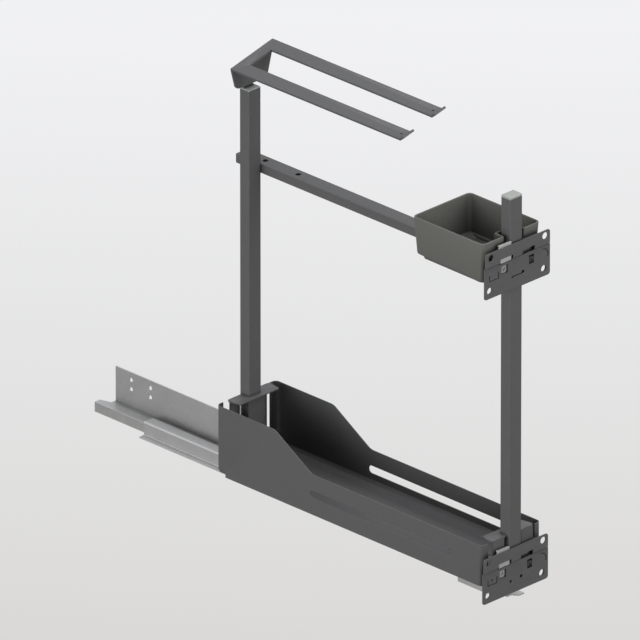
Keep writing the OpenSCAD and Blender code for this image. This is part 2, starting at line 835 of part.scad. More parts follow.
module at_rear() {
    translate([0, rear_y, 0]) mirror([0, 1, 0]) children();
}

module front_column_bracket() color(dark) placed()
    column_bracket(front_brk_top, front_brk_out, brk_d - 1.4, front_leg_set);

module front_column_channel() color(dark) placed()
    difference() {
        column_channel(front_brk_top);
        block([-channel_half - over, channel_half + over],
              [bolt_y - channel_depth, bolt_y + bolt_room],
              [lower_z + bolt_z - bolt_room, lower_z + bolt_z + bolt_room]);
    }

module rear_column_bracket() color(dark) placed() at_rear()
    column_bracket(rear_brk_top, rear_brk_out, brk_d + 0.3, rear_leg_set);

module rear_column_channel() color(dark) placed() at_rear() column_channel(rear_brk_top);

// Columns

module column_tube(y) {
    translate([0, y, floor_under]) linear_extrude(height = col_top - floor_under) difference() {
        round_bar([-col_w / 2, col_w / 2], [-col_d / 2, col_d / 2], col_r);
        bar([-col_w / 2 + col_wall, col_w / 2 - col_wall], [-col_d / 2 + col_wall, col_d / 2 - col_wall]);
    }
}

module rail_bore(y, d) {
    pin_x([xr_x - col_wall - over, xr_x + xr_w + over], y, xr_z + xr_h / 2, d);
}

module front_column() color(dark) placed()
    difference() {
        column_tube(front_y);
        rail_bore(front_y, xr_screw_d + play);
        for (z = [upper_z, lower_z])
            pin_x([-col_w, col_w], front_y + bolt_y, z + bolt_z, bolt_d + play);
    }

module rear_column() color(dark) placed()
    difference() {
        column_tube(rear_y);
        rail_bore(rear_y, xr_screw_d + play);
    }

module in_tube(y, z) {
    block([-col_w / 2 + col_wall + fit, col_w / 2 - col_wall - fit],
          [y - col_d / 2 + col_wall + fit, y + col_d / 2 - col_wall - fit], z);
}

module column_foot_plugs() color(black) placed()
    for (y = [front_y, rear_y]) difference() {
        in_tube(y, [floor_under, floor_under + plug_h]);
        pin_z(0, y, [floor_under - over, floor_under + plug_h - plug_wall], foot_screw_d);
    }

module column_foot_screws() color(steel) placed()
    for (y = [front_y, rear_y]) difference() {
        union() {
            pin_z(0, y, [floor_under - foot_t, floor_under + plug_h - foot_screw_short], foot_screw_d);
            pin_z(0, y, [foot_head_z, floor_under - foot_t], foot_head_d);
        }
        hex_z(0, y, [foot_head_z - over, foot_head_z + foot_socket_h], foot_socket_d);
    }

// Cap with a domed rim, pushed into the tube's end
module column_cap(y, rise) {
    dome = min(cap_dome, rise / 2);
    hull() {
        translate([0, y, col_top]) linear_extrude(height = rise - dome)
            square([col_w - 2 * fit, col_d - 2 * fit], center = true);
        translate([0, y, col_top + rise - thin]) linear_extrude(height = thin)
            square([col_w - 2 * dome, col_d - 2 * dome], center = true);
    }
    in_tube(y, [col_top - cap_plug, col_top]);
}

module front_column_cap() color(cap_grey) placed() column_cap(front_y, cap_h);

module rear_column_cap() color(cap_grey) placed()
    difference() {
        column_cap(rear_y, cap_h / 2);
        block([tongue_x[0] - fit, tongue_x[1] + fit], [tongue_y[0] - fit, tongue_y[1] + fit],
              [col_top - cap_plug - over, col_top + cap_h]);
    }

// Cross rail

module cross_rail() color(dark) placed()
    difference() {
        along_y([xr_front_y, xr_rear_y]) difference() {
            round_bar([xr_x, xr_x + xr_w], [xr_z, xr_top], xr_r);
            bar([xr_x + xr_wall, xr_x + xr_w - xr_wall], [xr_z + xr_wall, xr_top - xr_wall]);
        }
        for (y = xr_hole_y)
            pin_z(xr_x + xr_w / 2, y, [xr_top - 2 * xr_wall, xr_top + over], xr_hole_d);
        for (y = [front_y, rear_y]) rail_bore(y, xr_screw_d + play);
    }

module cross_rail_plugs() color(black) placed()
    for (s = [[xr_front_y, -1], [xr_rear_y, 1]]) {
        lip = [min(s[0], s[0] + xr_lip * s[1]), max(s[0], s[0] + xr_lip * s[1])];
        body = [min(s[0], s[0] - xr_plug * s[1]), max(s[0], s[0] - xr_plug * s[1])];
        along_y(lip) round_bar([xr_x + fit, xr_x + xr_w - fit], [xr_z + fit, xr_top - fit], xr_r);
        along_y(body) bar([xr_x + xr_wall + fit, xr_x + xr_w - xr_wall - fit],
                          [xr_z + xr_wall + fit, xr_top - xr_wall - fit]);
    }

module cross_rail_screws() color(steel) placed()
    for (y = [front_y, rear_y]) difference() {
        union() {
            pin_x([xr_x - rail_screw_tail, xr_x + xr_w], y, xr_z + xr_h / 2, xr_screw_d);
            pin_x([xr_x + xr_w, xr_x + xr_w + rail_head_h], y, xr_z + xr_h / 2, rail_head_d);
        }
        hex_x([xr_x + xr_w + rail_head_h - rail_socket_h, xr_x + xr_w + rail_head_h + over], y,
              xr_z + xr_h / 2, rail_socket_d);
    }

// Sponge box

// One level of the box as a thin slab, drawn in by an inset
module box_slab(inset, z, r) {
    translate([box_mid_x, 0, z]) linear_extrude(height = thin)
        polygon(rounded([[-box_w / 2 + inset, box_front_y + inset], [box_w / 2 - inset, box_front_y + inset],
                         [box_w / 2 - inset, box_front_y + box_l - inset],
                         [-box_w / 2 + inset, box_front_y + box_l - inset]], [r, r, r, r]));
}

module box_form(grow, z0, z1) {
    hull() {
        box_slab(box_draft + grow + box_foot_r, z0, box_r);
        box_slab(box_draft + grow + box_foot_in, z0 + box_foot_in, box_r);
        box_slab(box_draft + grow, z0 + box_foot_r, box_r);
        box_slab(grow, z1 - thin, box_r);
    }
}

module sponge_box() color(box_grey) placed() {
    for (x = [xr_x - rib_gap - rib_t, xr_x + xr_w + rib_gap])
        block([x, x + rib_t], rib_y, [box_z - rib_h, box_z + box_t / 2]);
    difference() {
        box_form(0, box_z, box_z + box_h);
        difference() {
            box_form(box_t, box_z + box_t, box_z + box_h + over);
            block([recess_x[0] - box_t, recess_x[1] + box_t], [box_front_y - over, recess_y + box_t],
                  [box_z, box_z + box_h + 2 * over]);
            block([-box_w, box_w], [box_front_y + box_l - box_step_len - box_t, box_front_y + box_l + over],
                  [box_z, box_z + box_step + box_t]);
        }
        block(recess_x, [box_front_y - over, recess_y], [box_z - over, box_z + box_h + over]);
        block([-box_w, box_w], [box_front_y + box_l - box_step_len, box_front_y + box_l + over],
              [box_z - over, box_z + box_step]);
    }
}

// Towel fork

module in_fork_plane() {
    translate([fork_x, 0, fork_z]) rotate([0, -fork_tilt, 0]) children();
}

function tip_points() = let (d = [-cos(tip_angle), sin(tip_angle)], n = [sin(tip_angle), cos(tip_angle)],
    p = [fork_front_y, -fork_t])
    [p, p + tip_len * d, p + tip_len * d + fork_t * n, [fork_front_y + fork_t * tan(tip_angle / 2), 0]];

module towel_fork() color(dark) placed() {
    half = fork_w / 2;
    left = [fork_x - half * cos(fork_tilt), fork_z - half * sin(fork_tilt) - fork_t / 2];
    right = [fork_x + half * cos(fork_tilt), fork_z + half * sin(fork_tilt) - fork_t / 2];
    difference() {
        union() {
            in_fork_plane() {
                translate([0, 0, -fork_t]) linear_extrude(height = fork_t) {
                    bar([-half, half], [fork_rear_y - fork_bar, fork_rear_y]);
                    for (s = [0, 1]) bar([s ? half - arm_w : -half, s ? half : arm_w - half],
                                         [fork_front_y, fork_rear_y]);
                }
                for (s = [0, 1]) along_x([s ? half - arm_w : -half, s ? half : arm_w - half])
                    polygon(tip_points());
            }
            along_y([fork_rear_y - fork_t, fork_rear_y])
                polygon(rounded([left, right,
                                 [right[0] - (right[1] - bracket_low) * tan(bracket_taper), bracket_low],
                                 [left[0] + (left[1] - bracket_low) * tan(bracket_taper), bracket_low]],
                                [0, 0, bracket_r, bracket_r]));
        }
        in_fork_plane() for (s = [-1, 1])
            pin_z(s * (half - arm_w / 2), fork_front_y + tip_hole_in, [-fork_t - over, over], tip_hole_d);
        for (x = fork_screw_x)
            pin_y(x, [fork_rear_y - fork_screw_deep, fork_rear_y + over], fork_screw_z, fork_screw_d + play);
    }
}

module fork_tongue() color(dark) placed()
    difference() {
        block(tongue_x, tongue_y, [col_top - tongue_deep, tongue_top]);
        for (x = fork_screw_x)
            pin_y(x, [tongue_y[0] - over, tongue_y[1] + over], fork_screw_z, fork_screw_d);
    }

module fork_screws() color(dark) placed()
    for (x = fork_screw_x) {
        pin_y(x, [fork_rear_y - fork_screw_deep, tongue_y[1]], fork_screw_z, fork_screw_d);
        pin_y(x, [tongue_y[1], tongue_y[1] + fork_head_h], fork_screw_z, fork_head_d);
    }

// Door plate units, drawn from the plate's middle and lower edge

module unit_at(x, z) {
    translate([x, 0, z]) children();
}

// Angled carrier round the column, with an ear for each adjuster; the ears follow the plate's set
module carrier(shift) {
    inner = col_w / 2;
    difference() {
        union() {
            for (s = [0, 1]) along_x([s ? inner : -inner - carrier_t, s ? inner + carrier_t : -inner])
                polygon([[ear_front_y, cheek_z], [col_d / 2 + carrier_t, cheek_z],
                         [col_d / 2 + carrier_t, cheek_top], [ear_front_y, ear_z[1]]]);
            block([-inner - carrier_t, inner + carrier_t], [col_d / 2, col_d / 2 + carrier_t],
                  [cheek_z, cheek_top]);
            along_y([ear_front_y, ear_back_y]) {
                bar([ear_x[0] + shift, -inner], ear_z);
                bar([inner, ear_x[1] + shift], ear_z);
            }
            pin_y(pin_at[0] + shift, [hook_back_y - hook_t, ear_front_y + carrier_t / 2], pin_at[1], pin_d);
        }
        for (p = [height_cam_at, side_cam_at - [0, cam_e]])
            pin_y(p[0] + shift, [ear_front_y - over, ear_back_y + over], p[1], shaft_hole);
        pin_x([-col_w, col_w], bolt_y, bolt_z, bolt_d + play);
    }
}

module carrier_bolt() {
    inner = col_w / 2 + carrier_t;
    difference() {
        union() {
            pin_x([-inner, inner + bolt_tail], bolt_y, bolt_z, bolt_d);
            pin_x([-inner - bolt_head_h, -inner], bolt_y, bolt_z, bolt_head_d);
            hex_x([inner, inner + bolt_nut_h], bolt_y, bolt_z, bolt_nut_d);
        }
        hex_x([-inner - bolt_head_h - over, -inner - bolt_head_h + bolt_socket_h], bolt_y, bolt_z,
              bolt_socket_d);
    }
}

// Height hook: its upper half lies behind the plate's strip, its lower half on the carrier's ear
module hook() {
    slot_x = height_cam_at[0] - cam_e;
    drop = cam_e * (1 - cos(45));
    difference() {
        union() {
            block(hook_x, [hook_front_y, hook_front_y + hook_t], [hook_neck_top, plate_h + hook_rise]);
            block([hook_x[0], hook_lip_right], [hook_front_y, hook_front_y + hook_lip],
                  [plate_h + hook_rise - hook_t, plate_h + hook_rise]);
            block([hook_neck_left, hook_x[1]], [hook_front_y, hook_front_y + hook_t],
                  [hook_step_z, hook_neck_top]);
            block([hook_neck_left, hook_low_x[1]], [hook_front_y, hook_back_y],
                  [hook_step_z, hook_step_z + hook_t]);
            block(hook_low_x, [hook_back_y - hook_t, hook_back_y], [hook_low_z, hook_step_z + hook_t]);
        }
        along_y([hook_back_y - hook_t - over, hook_back_y + over]) {
            bar([slot_x - cam_d / 2 - cam_play, slot_x + cam_d / 2 + drop + cam_play],
                [height_cam_at[1] - cam_d / 2 - cam_play, height_cam_at[1] + cam_d / 2 + cam_play]);
            bar([pin_at[0] - pin_room, pin_at[0] + pin_room],
                [pin_at[1] - pin_room - adjust, pin_at[1] + pin_room + adjust]);
        }
    }
}

// Eccentric adjuster under a round head with a cross recess
module height_cam() {
    x = height_cam_at[0];
    z = height_cam_at[1];
    head_y = hook_back_y - hook_t;
    difference() {
        union() {
            pin_y(x, [plate_back_y + fit, head_y], z, head_d);
            pin_y(x - cam_e, [head_y, hook_back_y], z, cam_d);
            pin_y(x, [hook_back_y, ear_back_y], z, shaft_d);
        }
        for (a = [0, 90]) translate([x, plate_back_y, z]) rotate([0, a + cross_turn, 0])
            cube(cross_cut, center = true);
    }
}

module side_cam() {
    x = side_cam_at[0];
    z = side_cam_at[1];
    difference() {
        union() {
            pin_y(x, [plate_back_y - plate_t - disc_over, plate_back_y + disc_over], z, cam_d);
            pin_y(x, [plate_back_y + disc_over, ear_front_y], z - cam_e, neck_d);
            pin_y(x, [ear_front_y, ear_back_y], z - cam_e, shaft_d);
        }
        translate([x, plate_back_y - plate_t - disc_over, z - cam_e / 2]) rotate([90, 0, 0])
            cylinder(h = 2 * disc_cut, d = disc_socket_d, $fn = 6, center = true);
    }
}

module door_holes() {
    for (x = [-1, 1], z = [0, 1])
        pin_y(x * door_pitch_x / 2, [plate_face_y - over, plate_back_y + collar_len + over],
              hole_low + z * door_pitch_z, door_hole_d);
}

// A bent slit, cut from a ring between two angles
module ring_slit(x, z, r, w, a0, a1) {
    translate([x, z]) difference() {
        circle(r = r + w / 2);
        circle(r = r - w / 2);
        polygon([[0, 0], for (i = [0:6]) 3 * r * [cos(a1 + (360 + a0 - a1) * i / 6),
                                                  sin(a1 + (360 + a0 - a1) * i / 6)]]);
    }
}

// Door plate; the upper one has a slit between its two small holes, the lower one a hole in its tab
module door_plate(slit) {
    y0 = plate_back_y;
    y1 = plate_back_y - plate_t;
    drop = cam_e * (1 - cos(45));
    difference() {
        union() {
            intersection() {
                along_x([-plate_w / 2, plate_w / 2 + plate_out])
                    polygon([[y1, 0], [y0, 0], [y0, step_z[0]], [y0 - step_y, step_z[1]],
                             [y0 - step_y, plate_h], [y1 - step_y, plate_h], [y1 - step_y, step_z[1]],
                             [y1, step_z[0]]]);
                along_y([plate_face_y - over, over]) {
                    round_bar([-plate_w / 2, plate_w / 2 - strip_in], [0, plate_h], plate_r);
                    intersection() {
                        round_bar([-plate_w / 2, plate_w / 2 + plate_out], [0, plate_h], plate_r);
                        bar([-plate_w, plate_w], [0, step_z[0]]);
                    }
                }
            }
            for (x = [-1, 1]) pin_y(x * door_pitch_x / 2, [y0, y0 + collar_len], hole_low, collar_d);
        }
        door_holes();
        along_y([plate_face_y - over, 0]) {
            bar([hook_neck_left - adjust - slot_play, hook_x[1] + adjust + slot_play],
                [hook_step_z - hook_room, hook_window_top]);
            bar([height_cam_at[0] - cam_window / 2, height_cam_at[0] + cam_window / 2],
                [height_cam_at[1] - cam_window / 2, height_cam_at[1] + cam_window / 2]);
            bar([side_cam_at[0] - cam_d / 2 - cam_play, side_cam_at[0] + cam_d / 2 + cam_play],
                [side_cam_at[1] - cam_d / 2 - adjust - drop - cam_play,
                 side_cam_at[1] + cam_d / 2 + adjust + cam_play]);
            bar(long_window_x, long_window_z);
            bar([long_step_x, long_window_x[1]], [long_window_z[0], long_step_top]);
            translate(pilot_at) circle(d = pilot_d);
            translate(end_dot_at) circle(d = end_dot_d);
            if (slit) bar([end_dot_at[0], pilot_at[0]], mid_slit_z);
            else translate(tab_dot_at) circle(d = tab_dot_d);
        }
        along_y([plate_face_y - over, plate_back_y - groove_floor]) {
            bar([tab_x[0], tab_x[0] + slit_w], [tab_z[0], tab_z[1]]);
            bar(tab_x, [tab_z[0], tab_z[0] + slit_w]);
            bar([tab_x[1] - slit_w, tab_x[1]], [tab_z[0], tab_z[2]]);
            ring_slit(ring_at[0], ring_at[1], ring_r, slit_w, ring_turn[0], ring_turn[1]);
        }
        block([plate_w / 2 - end_notch, plate_w / 2 + plate_out + over], [plate_face_y - over, over], step_z);
    }
}

module upper_carrier() color(black) placed() unit_at(0, upper_z) carrier(0);
module upper_carrier_bolt() color(steel) placed() unit_at(0, upper_z) carrier_bolt();
module upper_hook() color(zinc) placed() unit_at(0, upper_z) hook();
module upper_door_plate() color(dark) placed() unit_at(0, upper_z) door_plate(true);
module upper_height_cam() color(zinc) placed() unit_at(0, upper_z) height_cam();
module upper_side_cam() color(black) placed() unit_at(0, upper_z) side_cam();
// The lower carrier has a bar between its ears, under the column's foot
module lower_carrier() color(black) placed() unit_at(0, lower_z) {
    carrier(lower_plate_shift);
    along_y([ear_front_y, ear_back_y]) bar(bridge_x, bridge_z);
}
module lower_carrier_bolt() color(steel) placed() unit_at(0, lower_z) carrier_bolt();
module lower_hook() color(zinc) placed() unit_at(lower_plate_shift, lower_z) hook();
module lower_door_plate() color(dark) placed() unit_at(lower_plate_shift, lower_z) door_plate(false);
module lower_height_cam() color(zinc) placed() unit_at(lower_plate_shift, lower_z) height_cam();
module lower_side_cam() color(black) placed() unit_at(lower_plate_shift, lower_z) side_cam();

cabinet_rail();
cabinet_track_wall();
closing_buffer();
middle_rail();
middle_track();
outer_ball_cage();
outer_balls();
inner_ball_cage();
inner_balls();
carriage_rail();
front_runner_bracket();
rear_runner_bracket();
runner_rivets();
tray_left_side();
tray_right_side();
tray_floor();
tray_screws();
tray_nuts();
front_column_bracket();
front_column_channel();
rear_column_bracket();
rear_column_channel();
front_column();
rear_column();
column_foot_plugs();
column_foot_screws();
front_column_cap();
rear_column_cap();
cross_rail();
cross_rail_plugs();
cross_rail_screws();
sponge_box();
towel_fork();
fork_tongue();
fork_screws();
upper_carrier();
upper_carrier_bolt();
upper_hook();
upper_door_plate();
upper_height_cam();
upper_side_cam();
lower_carrier();
lower_carrier_bolt();
lower_hook();
lower_door_plate();
lower_height_cam();
lower_side_cam();
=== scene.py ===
"""Dressed model of a pull-out towel rail for a narrow base cabinet.

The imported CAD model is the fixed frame. Each sub-assembly class below builds or finishes its own
pieces in the CAD's row frame, in metres: the runner, the tray, the column seats, the columns, the
cross rail, the sponge box, the towel fork and the two door plates. Surfaces are worked out with
numpy as whole grids, and every material is procedural.
"""

import logging
import math
from dataclasses import dataclass, field, replace
from enum import Enum
from functools import cache

import bmesh
import bpy
import numpy as np
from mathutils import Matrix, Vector


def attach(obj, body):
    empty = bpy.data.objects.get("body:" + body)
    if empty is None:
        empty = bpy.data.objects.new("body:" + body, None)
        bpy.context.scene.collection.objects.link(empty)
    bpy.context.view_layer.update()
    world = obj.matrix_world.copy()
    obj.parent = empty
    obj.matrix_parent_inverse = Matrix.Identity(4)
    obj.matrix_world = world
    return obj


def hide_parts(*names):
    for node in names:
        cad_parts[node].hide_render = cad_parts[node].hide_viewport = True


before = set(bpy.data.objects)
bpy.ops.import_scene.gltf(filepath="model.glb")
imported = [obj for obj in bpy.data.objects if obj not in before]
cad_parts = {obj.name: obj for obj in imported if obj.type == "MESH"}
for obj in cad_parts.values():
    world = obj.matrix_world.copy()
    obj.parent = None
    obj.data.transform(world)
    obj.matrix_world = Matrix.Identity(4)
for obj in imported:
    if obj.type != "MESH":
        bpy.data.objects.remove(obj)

log = logging.getLogger("towel_rail")

MM = 0.001
LAYOUT = np.array([-59.0, -666.8, 2.75])
WELD = 2e-6           # corners of a CAD solid's triangles this near are one, in metres
FLAT_ANGLE = 0.5      # faces that meet below this angle are one face, in degrees
SHARP_ANGLE = 35.0    # edges above this angle are rounded
SMOOTH_ANGLE = 40.0   # shells are shaded smooth below this angle


def direction(azimuth: float, elevation: float) -> Vector:
    """Unit vector from the object towards a camera or a lamp.

    Args:
        azimuth: in degrees, 0 for one that looks along +Y and 90 for one that looks along -X.
        elevation: its height angle in degrees.

    Returns:
        The vector in the row frame.
    """
    a, e = math.radians(azimuth), math.radians(elevation)
    return Vector((math.sin(a) * math.cos(e), -math.cos(a) * math.cos(e), math.sin(e)))


def placed(points: np.ndarray) -> np.ndarray:
    """Moves layout points to the row frame.

    Args:
        points: an (n, 3) array in mm from the front column's middle and the tray's lower edge.

    Returns:
        The points in metres from the runner's rear screw pattern.
    """
    return (np.asarray(points, float) + LAYOUT) * MM


class Slot(Enum):
    """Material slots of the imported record."""

    ANTHRACITE = "anthracite_paint"
    ZINC = "zinc_sheet"
    STEEL = "bright_steel"
    CAP = "cap_plastic"
    BOX = "box_plastic"
    BLACK = "black_plastic"
    RUBBER = "buffer_rubber"
    # near-black steel slot, used as painted shade behind the door plates' windows
    WINDOW_SHADE_BLACK = "black_steel"


class NodeKit:
    """Adds and links shader nodes in one tree."""

    def __init__(self, tree: bpy.types.NodeTree) -> None:
        """Keeps the tree to build in.

        Args:
            tree: a material's or a group's node tree.
        """
        self.tree = tree

    def add(self, kind: str, inputs: dict | None = None, **settings: object) -> bpy.types.Node:
        """Adds one node.

        Args:
            kind: the node's type name without its ShaderNode prefix.
            inputs: socket name or number to a value, or to an output socket to link from.
            **settings: attributes of the node.

        Returns:
            The new node.
        """
        node = self.tree.nodes.new("ShaderNode" + kind)
        for name, value in settings.items():
            setattr(node, name, value)
        for key, value in (inputs or {}).items():
            if isinstance(value, bpy.types.NodeSocket):
                self.tree.links.new(value, node.inputs[key])
            else:
                node.inputs[key].default_value = value
        return node

    def math(self, operation: str, a: object, b: object = 0.0) -> bpy.types.NodeSocket:
        """Adds a Math node and returns its output socket."""
        return self.add("Math", {0: a, 1: b}, operation=operation).outputs[0]

    def ramp(self, value: bpy.types.NodeSocket, low: float, high: float,
             to_low: float, to_high: float) -> bpy.types.NodeSocket:
        """Adds a clamped Map Range node.

        Args:
            value: the socket to map.
            low: start of the input range.
            high: end of the input range.
            to_low: value given at low.
            to_high: value given at high.

        Returns:
            The mapped value's socket.
        """
        return self.add("MapRange", {"Value": value, "From Min": low, "From Max": high,
                                     "To Min": to_low, "To Max": to_high}).outputs["Result"]


class EffectGroup:
    """Shader node groups that several materials share, each built once."""

    @classmethod
    def start(cls, name: str, inputs: dict[str, float], outputs: list[str]) -> tuple:
        """Makes the group's sockets.

        Args:
            name: the group's name.
            inputs: input name to its default value.
            outputs: names of the output values.

        Returns:
            The node kit, the group's input node and its output node.
        """
        tree = bpy.data.node_groups.new(name, "ShaderNodeTree")
        for key, value in inputs.items():
            socket = tree.interface.new_socket(key, in_out="INPUT", socket_type="NodeSocketFloat")
            socket.default_value = value
        for key in outputs:
            tree.interface.new_socket(key, in_out="OUTPUT", socket_type="NodeSocketFloat")
        kit = NodeKit(tree)
        return kit, tree.nodes.new("NodeGroupInput"), tree.nodes.new("NodeGroupOutput")

    @classmethod
    @cache
    def coat_grain(cls) -> bpy.types.NodeTree:
        """Fine pebbled skin of a powder coat, with faint cloudy tone.

        Returns:
            A group with the inputs Size and Cloud, and the outputs Height and Tone.
        """
        kit, start, end = cls.start("coat_grain", {"Size": 900.0, "Cloud": 0.1}, ["Height", "Tone"])
        place = kit.add("TexCoord").outputs["Object"]
        pebbles = kit.add("TexNoise", {"Vector": place, "Scale": start.outputs["Size"],
                                       "Detail": 2.0, "Roughness": 0.55}).outputs["Fac"]
        cloud = kit.add("TexNoise", {"Vector": place, "Scale": 14.0, "Detail": 3.0}).outputs["Fac"]
        centred = kit.math("SUBTRACT", cloud, 0.5)
        tone = kit.math("ADD", kit.math("MULTIPLY", centred, start.outputs["Cloud"]), 1.0)
        kit.tree.links.new(pebbles, end.inputs["Height"])
        kit.tree.links.new(tone, end.inputs["Tone"])
        return kit.tree

    @classmethod
    @cache
    def rolled_lines(cls) -> bpy.types.NodeTree:
        """Fine lines of rolled sheet along Y, with larger patches of the plating.

        Returns:
            A group with the inputs Fineness and Patch, and the outputs Height and Tone.
        """
        kit, start, end = cls.start("rolled_lines", {"Fineness": 1500.0, "Patch": 0.15},
                                    ["Height", "Tone"])
        place = kit.add("TexCoord").outputs["Object"]
        along = kit.add("Mapping", {"Vector": place, "Scale": (1.0, 0.02, 1.0)}).outputs[0]
        lines = kit.add("TexNoise", {"Vector": along, "Scale": start.outputs["Fineness"],
                                     "Detail": 3.0, "Roughness": 0.6}).outputs["Fac"]
        patch = kit.add("TexNoise", {"Vector": place, "Scale": 30.0, "Detail": 4.0}).outputs["Fac"]
        spangle = kit.add("TexVoronoi", {"Vector": place, "Scale": 260.0}).outputs["Distance"]
        mixed = kit.math("ADD", kit.math("MULTIPLY", spangle, 0.35), patch)
        centred = kit.math("SUBTRACT", mixed, 0.65)
        tone = kit.math("ADD", kit.math("MULTIPLY", centred, start.outputs["Patch"]), 1.0)
        kit.tree.links.new(lines, end.inputs["Height"])
        kit.tree.links.new(tone, end.inputs["Tone"])
        return kit.tree

    @classmethod
    @cache
    def worn_and_highlit_edge(cls) -> bpy.types.NodeTree:
        """Mask of convex edges, broken up by noise, that lightens them partly as wear and partly as
        a painted highlight.

        Returns:
            A group with the inputs Start and Width, and the output Mask.
        """
        kit, start, end = cls.start("worn_and_highlit_edge", {"Start": 0.53, "Width": 0.08}, ["Mask"])
        convex = kit.add("NewGeometry").outputs["Pointiness"]
        place = kit.add("TexCoord").outputs["Object"]
        noise = kit.add("TexNoise", {"Vector": place, "Scale": 120.0, "Detail": 4.0}).outputs["Fac"]
        top = kit.math("ADD", start.outputs["Start"], start.outputs["Width"])
        ridge = kit.add("MapRange", {"Value": convex, "From Min": start.outputs["Start"],
                                     "From Max": top}).outputs["Result"]
        broken = kit.ramp(noise, 0.35, 0.7, 0.35, 1.0)
        kit.tree.links.new(kit.math("MULTIPLY", ridge, broken), end.inputs["Mask"])
        return kit.tree

    @classmethod
    @cache
    def painted_shade(cls) -> bpy.types.NodeTree:
        """Mask of painted shade: corners, slots and undersides darken where other surfaces stand
        close.

        Returns:
            A group with the input Reach in metres, and the output Mask: 1 where the surface is
            open, towards 0 where other surfaces stand close.
        """
        kit, start, end = cls.start("painted_shade", {"Reach": 0.006}, ["Mask"])
        # Ambient occlusion used as painted shade in the base colour.
        near = kit.add("AmbientOcclusion", {"Distance": start.outputs["Reach"]}, samples=8)
        kit.tree.links.new(near.outputs["AO"], end.inputs["Mask"])
        return kit.tree


@dataclass(frozen=True)
class Finish:
    """One finish: a tone, how glossy it is, the relief and wear on it, and its painted highlight
    and shade.

    Attributes:
        name: the material's name.
        slot: the record's slot that it belongs to; it is not used.
        tone: base colour, linear.
        metallic: how metallic the surface is.
        roughness: how matt the surface is.
        specular: level of the plain reflection.
        lined: whether the relief is rolled lines in place of pebbles.
        relief_size: fineness of the relief.
        relief: strength of the relief.
        cloud: how much the tone wanders.
        edge_tone: what the tone is multiplied by along convex edges, partly as wear and partly as a
            painted highlight.
        shade_tone: what the tone is multiplied by deep in hollows, as painted shade.
        shade_reach: how far a hollow's sides are looked for by the painted shade, in metres.
    """

    name: str
    slot: Slot
    tone: tuple[float, float, float]
    metallic: float = 0.0
    roughness: float = 0.5
    specular: float = 0.5
    lined: bool = False
    relief_size: float = 900.0
    relief: float = 0.05
    cloud: float = 0.1
    edge_tone: float = 1.3
    shade_tone: float = 0.3
    shade_reach: float = 0.006

    @cache
    def material(self) -> bpy.types.Material:
        """The finish as a Blender material, built once.

        Returns:
            The material.
        """
        made = bpy.data.materials.new(self.name)
        made.use_nodes = True
        made.node_tree.nodes.clear()
        kit = NodeKit(made.node_tree)
        skin_tree = EffectGroup.rolled_lines() if self.lined else EffectGroup.coat_grain()
        skin = kit.add("Group", node_tree=skin_tree)
        skin.inputs[0].default_value = self.relief_size
        skin.inputs[1].default_value = self.cloud
        # Convex edges are lightened, partly as wear and partly as a painted highlight.
        edge = kit.add("Group", node_tree=EffectGroup.worn_and_highlit_edge())
        factor = kit.math("MULTIPLY", skin.outputs["Tone"],
                          kit.ramp(edge.outputs["Mask"], 0.0, 1.0, 1.0, self.edge_tone))
        # Painted shade: the tone darkens where other surfaces stand close.
        shade_node = kit.add("Group", node_tree=EffectGroup.painted_shade())
        shade_node.inputs[0].default_value = self.shade_reach
        factor = kit.math("MULTIPLY", factor, kit.ramp(shade_node.outputs["Mask"], 0.35, 0.85,
                                                       self.shade_tone, 1.0))
        tinted = kit.add("VectorMath", {0: self.tone, "Scale": factor}, operation="SCALE")
        rough = kit.ramp(skin.outputs["Height"], 0.2, 0.8, self.roughness - 0.04,
                         self.roughness + 0.04)
        bump = kit.add("Bump", {"Strength": self.relief, "Distance": 0.0002,
                                "Height": skin.outputs["Height"]})
        shader = kit.add("BsdfPrincipled", {"Base Color": tinted.outputs[0], "Roughness": rough,
                                            "Normal": bump.outputs[0], "Metallic": self.metallic,
                                            "Specular IOR Level": self.specular})
        kit.add("OutputMaterial", {"Surface": shader.outputs[0]})
        return made


PAINT = Finish("anthracite_powder_coat", Slot.ANTHRACITE, (0.086, 0.086, 0.088), specular=0.3,
               relief_size=1500.0, relief=0.12, cloud=0.08, edge_tone=1.35)
# Door plates: a strong painted highlight on their edges, and deep painted shade under the step, in
# slits and in windows.
PLATE_PAINT = replace(PAINT, name="anthracite_plate_coat", relief=0.1, cloud=0.1, edge_tone=1.5,
                      shade_tone=0.1)
# Tray: painted shade that reaches far, so its inside and far wall are painted dark.
TRAY_PAINT = replace(PAINT, name="anthracite_tray_coat", shade_reach=0.11)
ZINC = Finish("rolled_zinc_sheet", Slot.ZINC, (0.46, 0.46, 0.46), metallic=1.0, lined=True,
              relief_size=1400.0, relief=0.06, cloud=0.14, edge_tone=1.15, shade_tone=0.8)
# Runner rail: painted shade that reaches 40 mm darkens its plate beside the tray and along its
# folds.
RAIL_ZINC = replace(ZINC, name="rolled_zinc_rail", tone=(0.47, 0.47, 0.47), roughness=0.45,
                    relief=0.1, cloud=0.2, edge_tone=1.2, shade_tone=0.45, shade_reach=0.04)
BRIGHT = Finish("plated_bright_steel", Slot.STEEL, (0.62, 0.62, 0.61), metallic=1.0, roughness=0.25,
                relief_size=2400.0, relief=0.03, cloud=0.06, edge_tone=1.1)
DULL = Finish("dull_screw_steel", Slot.STEEL, (0.10, 0.10, 0.10), metallic=0.6, roughness=0.42,
              relief_size=2400.0, relief=0.05, cloud=0.08, edge_tone=1.5)
CAP = Finish("satin_cap_plastic", Slot.CAP, (0.285, 0.297, 0.282), relief_size=1800.0,
             relief=0.06, cloud=0.05, edge_tone=1.08)
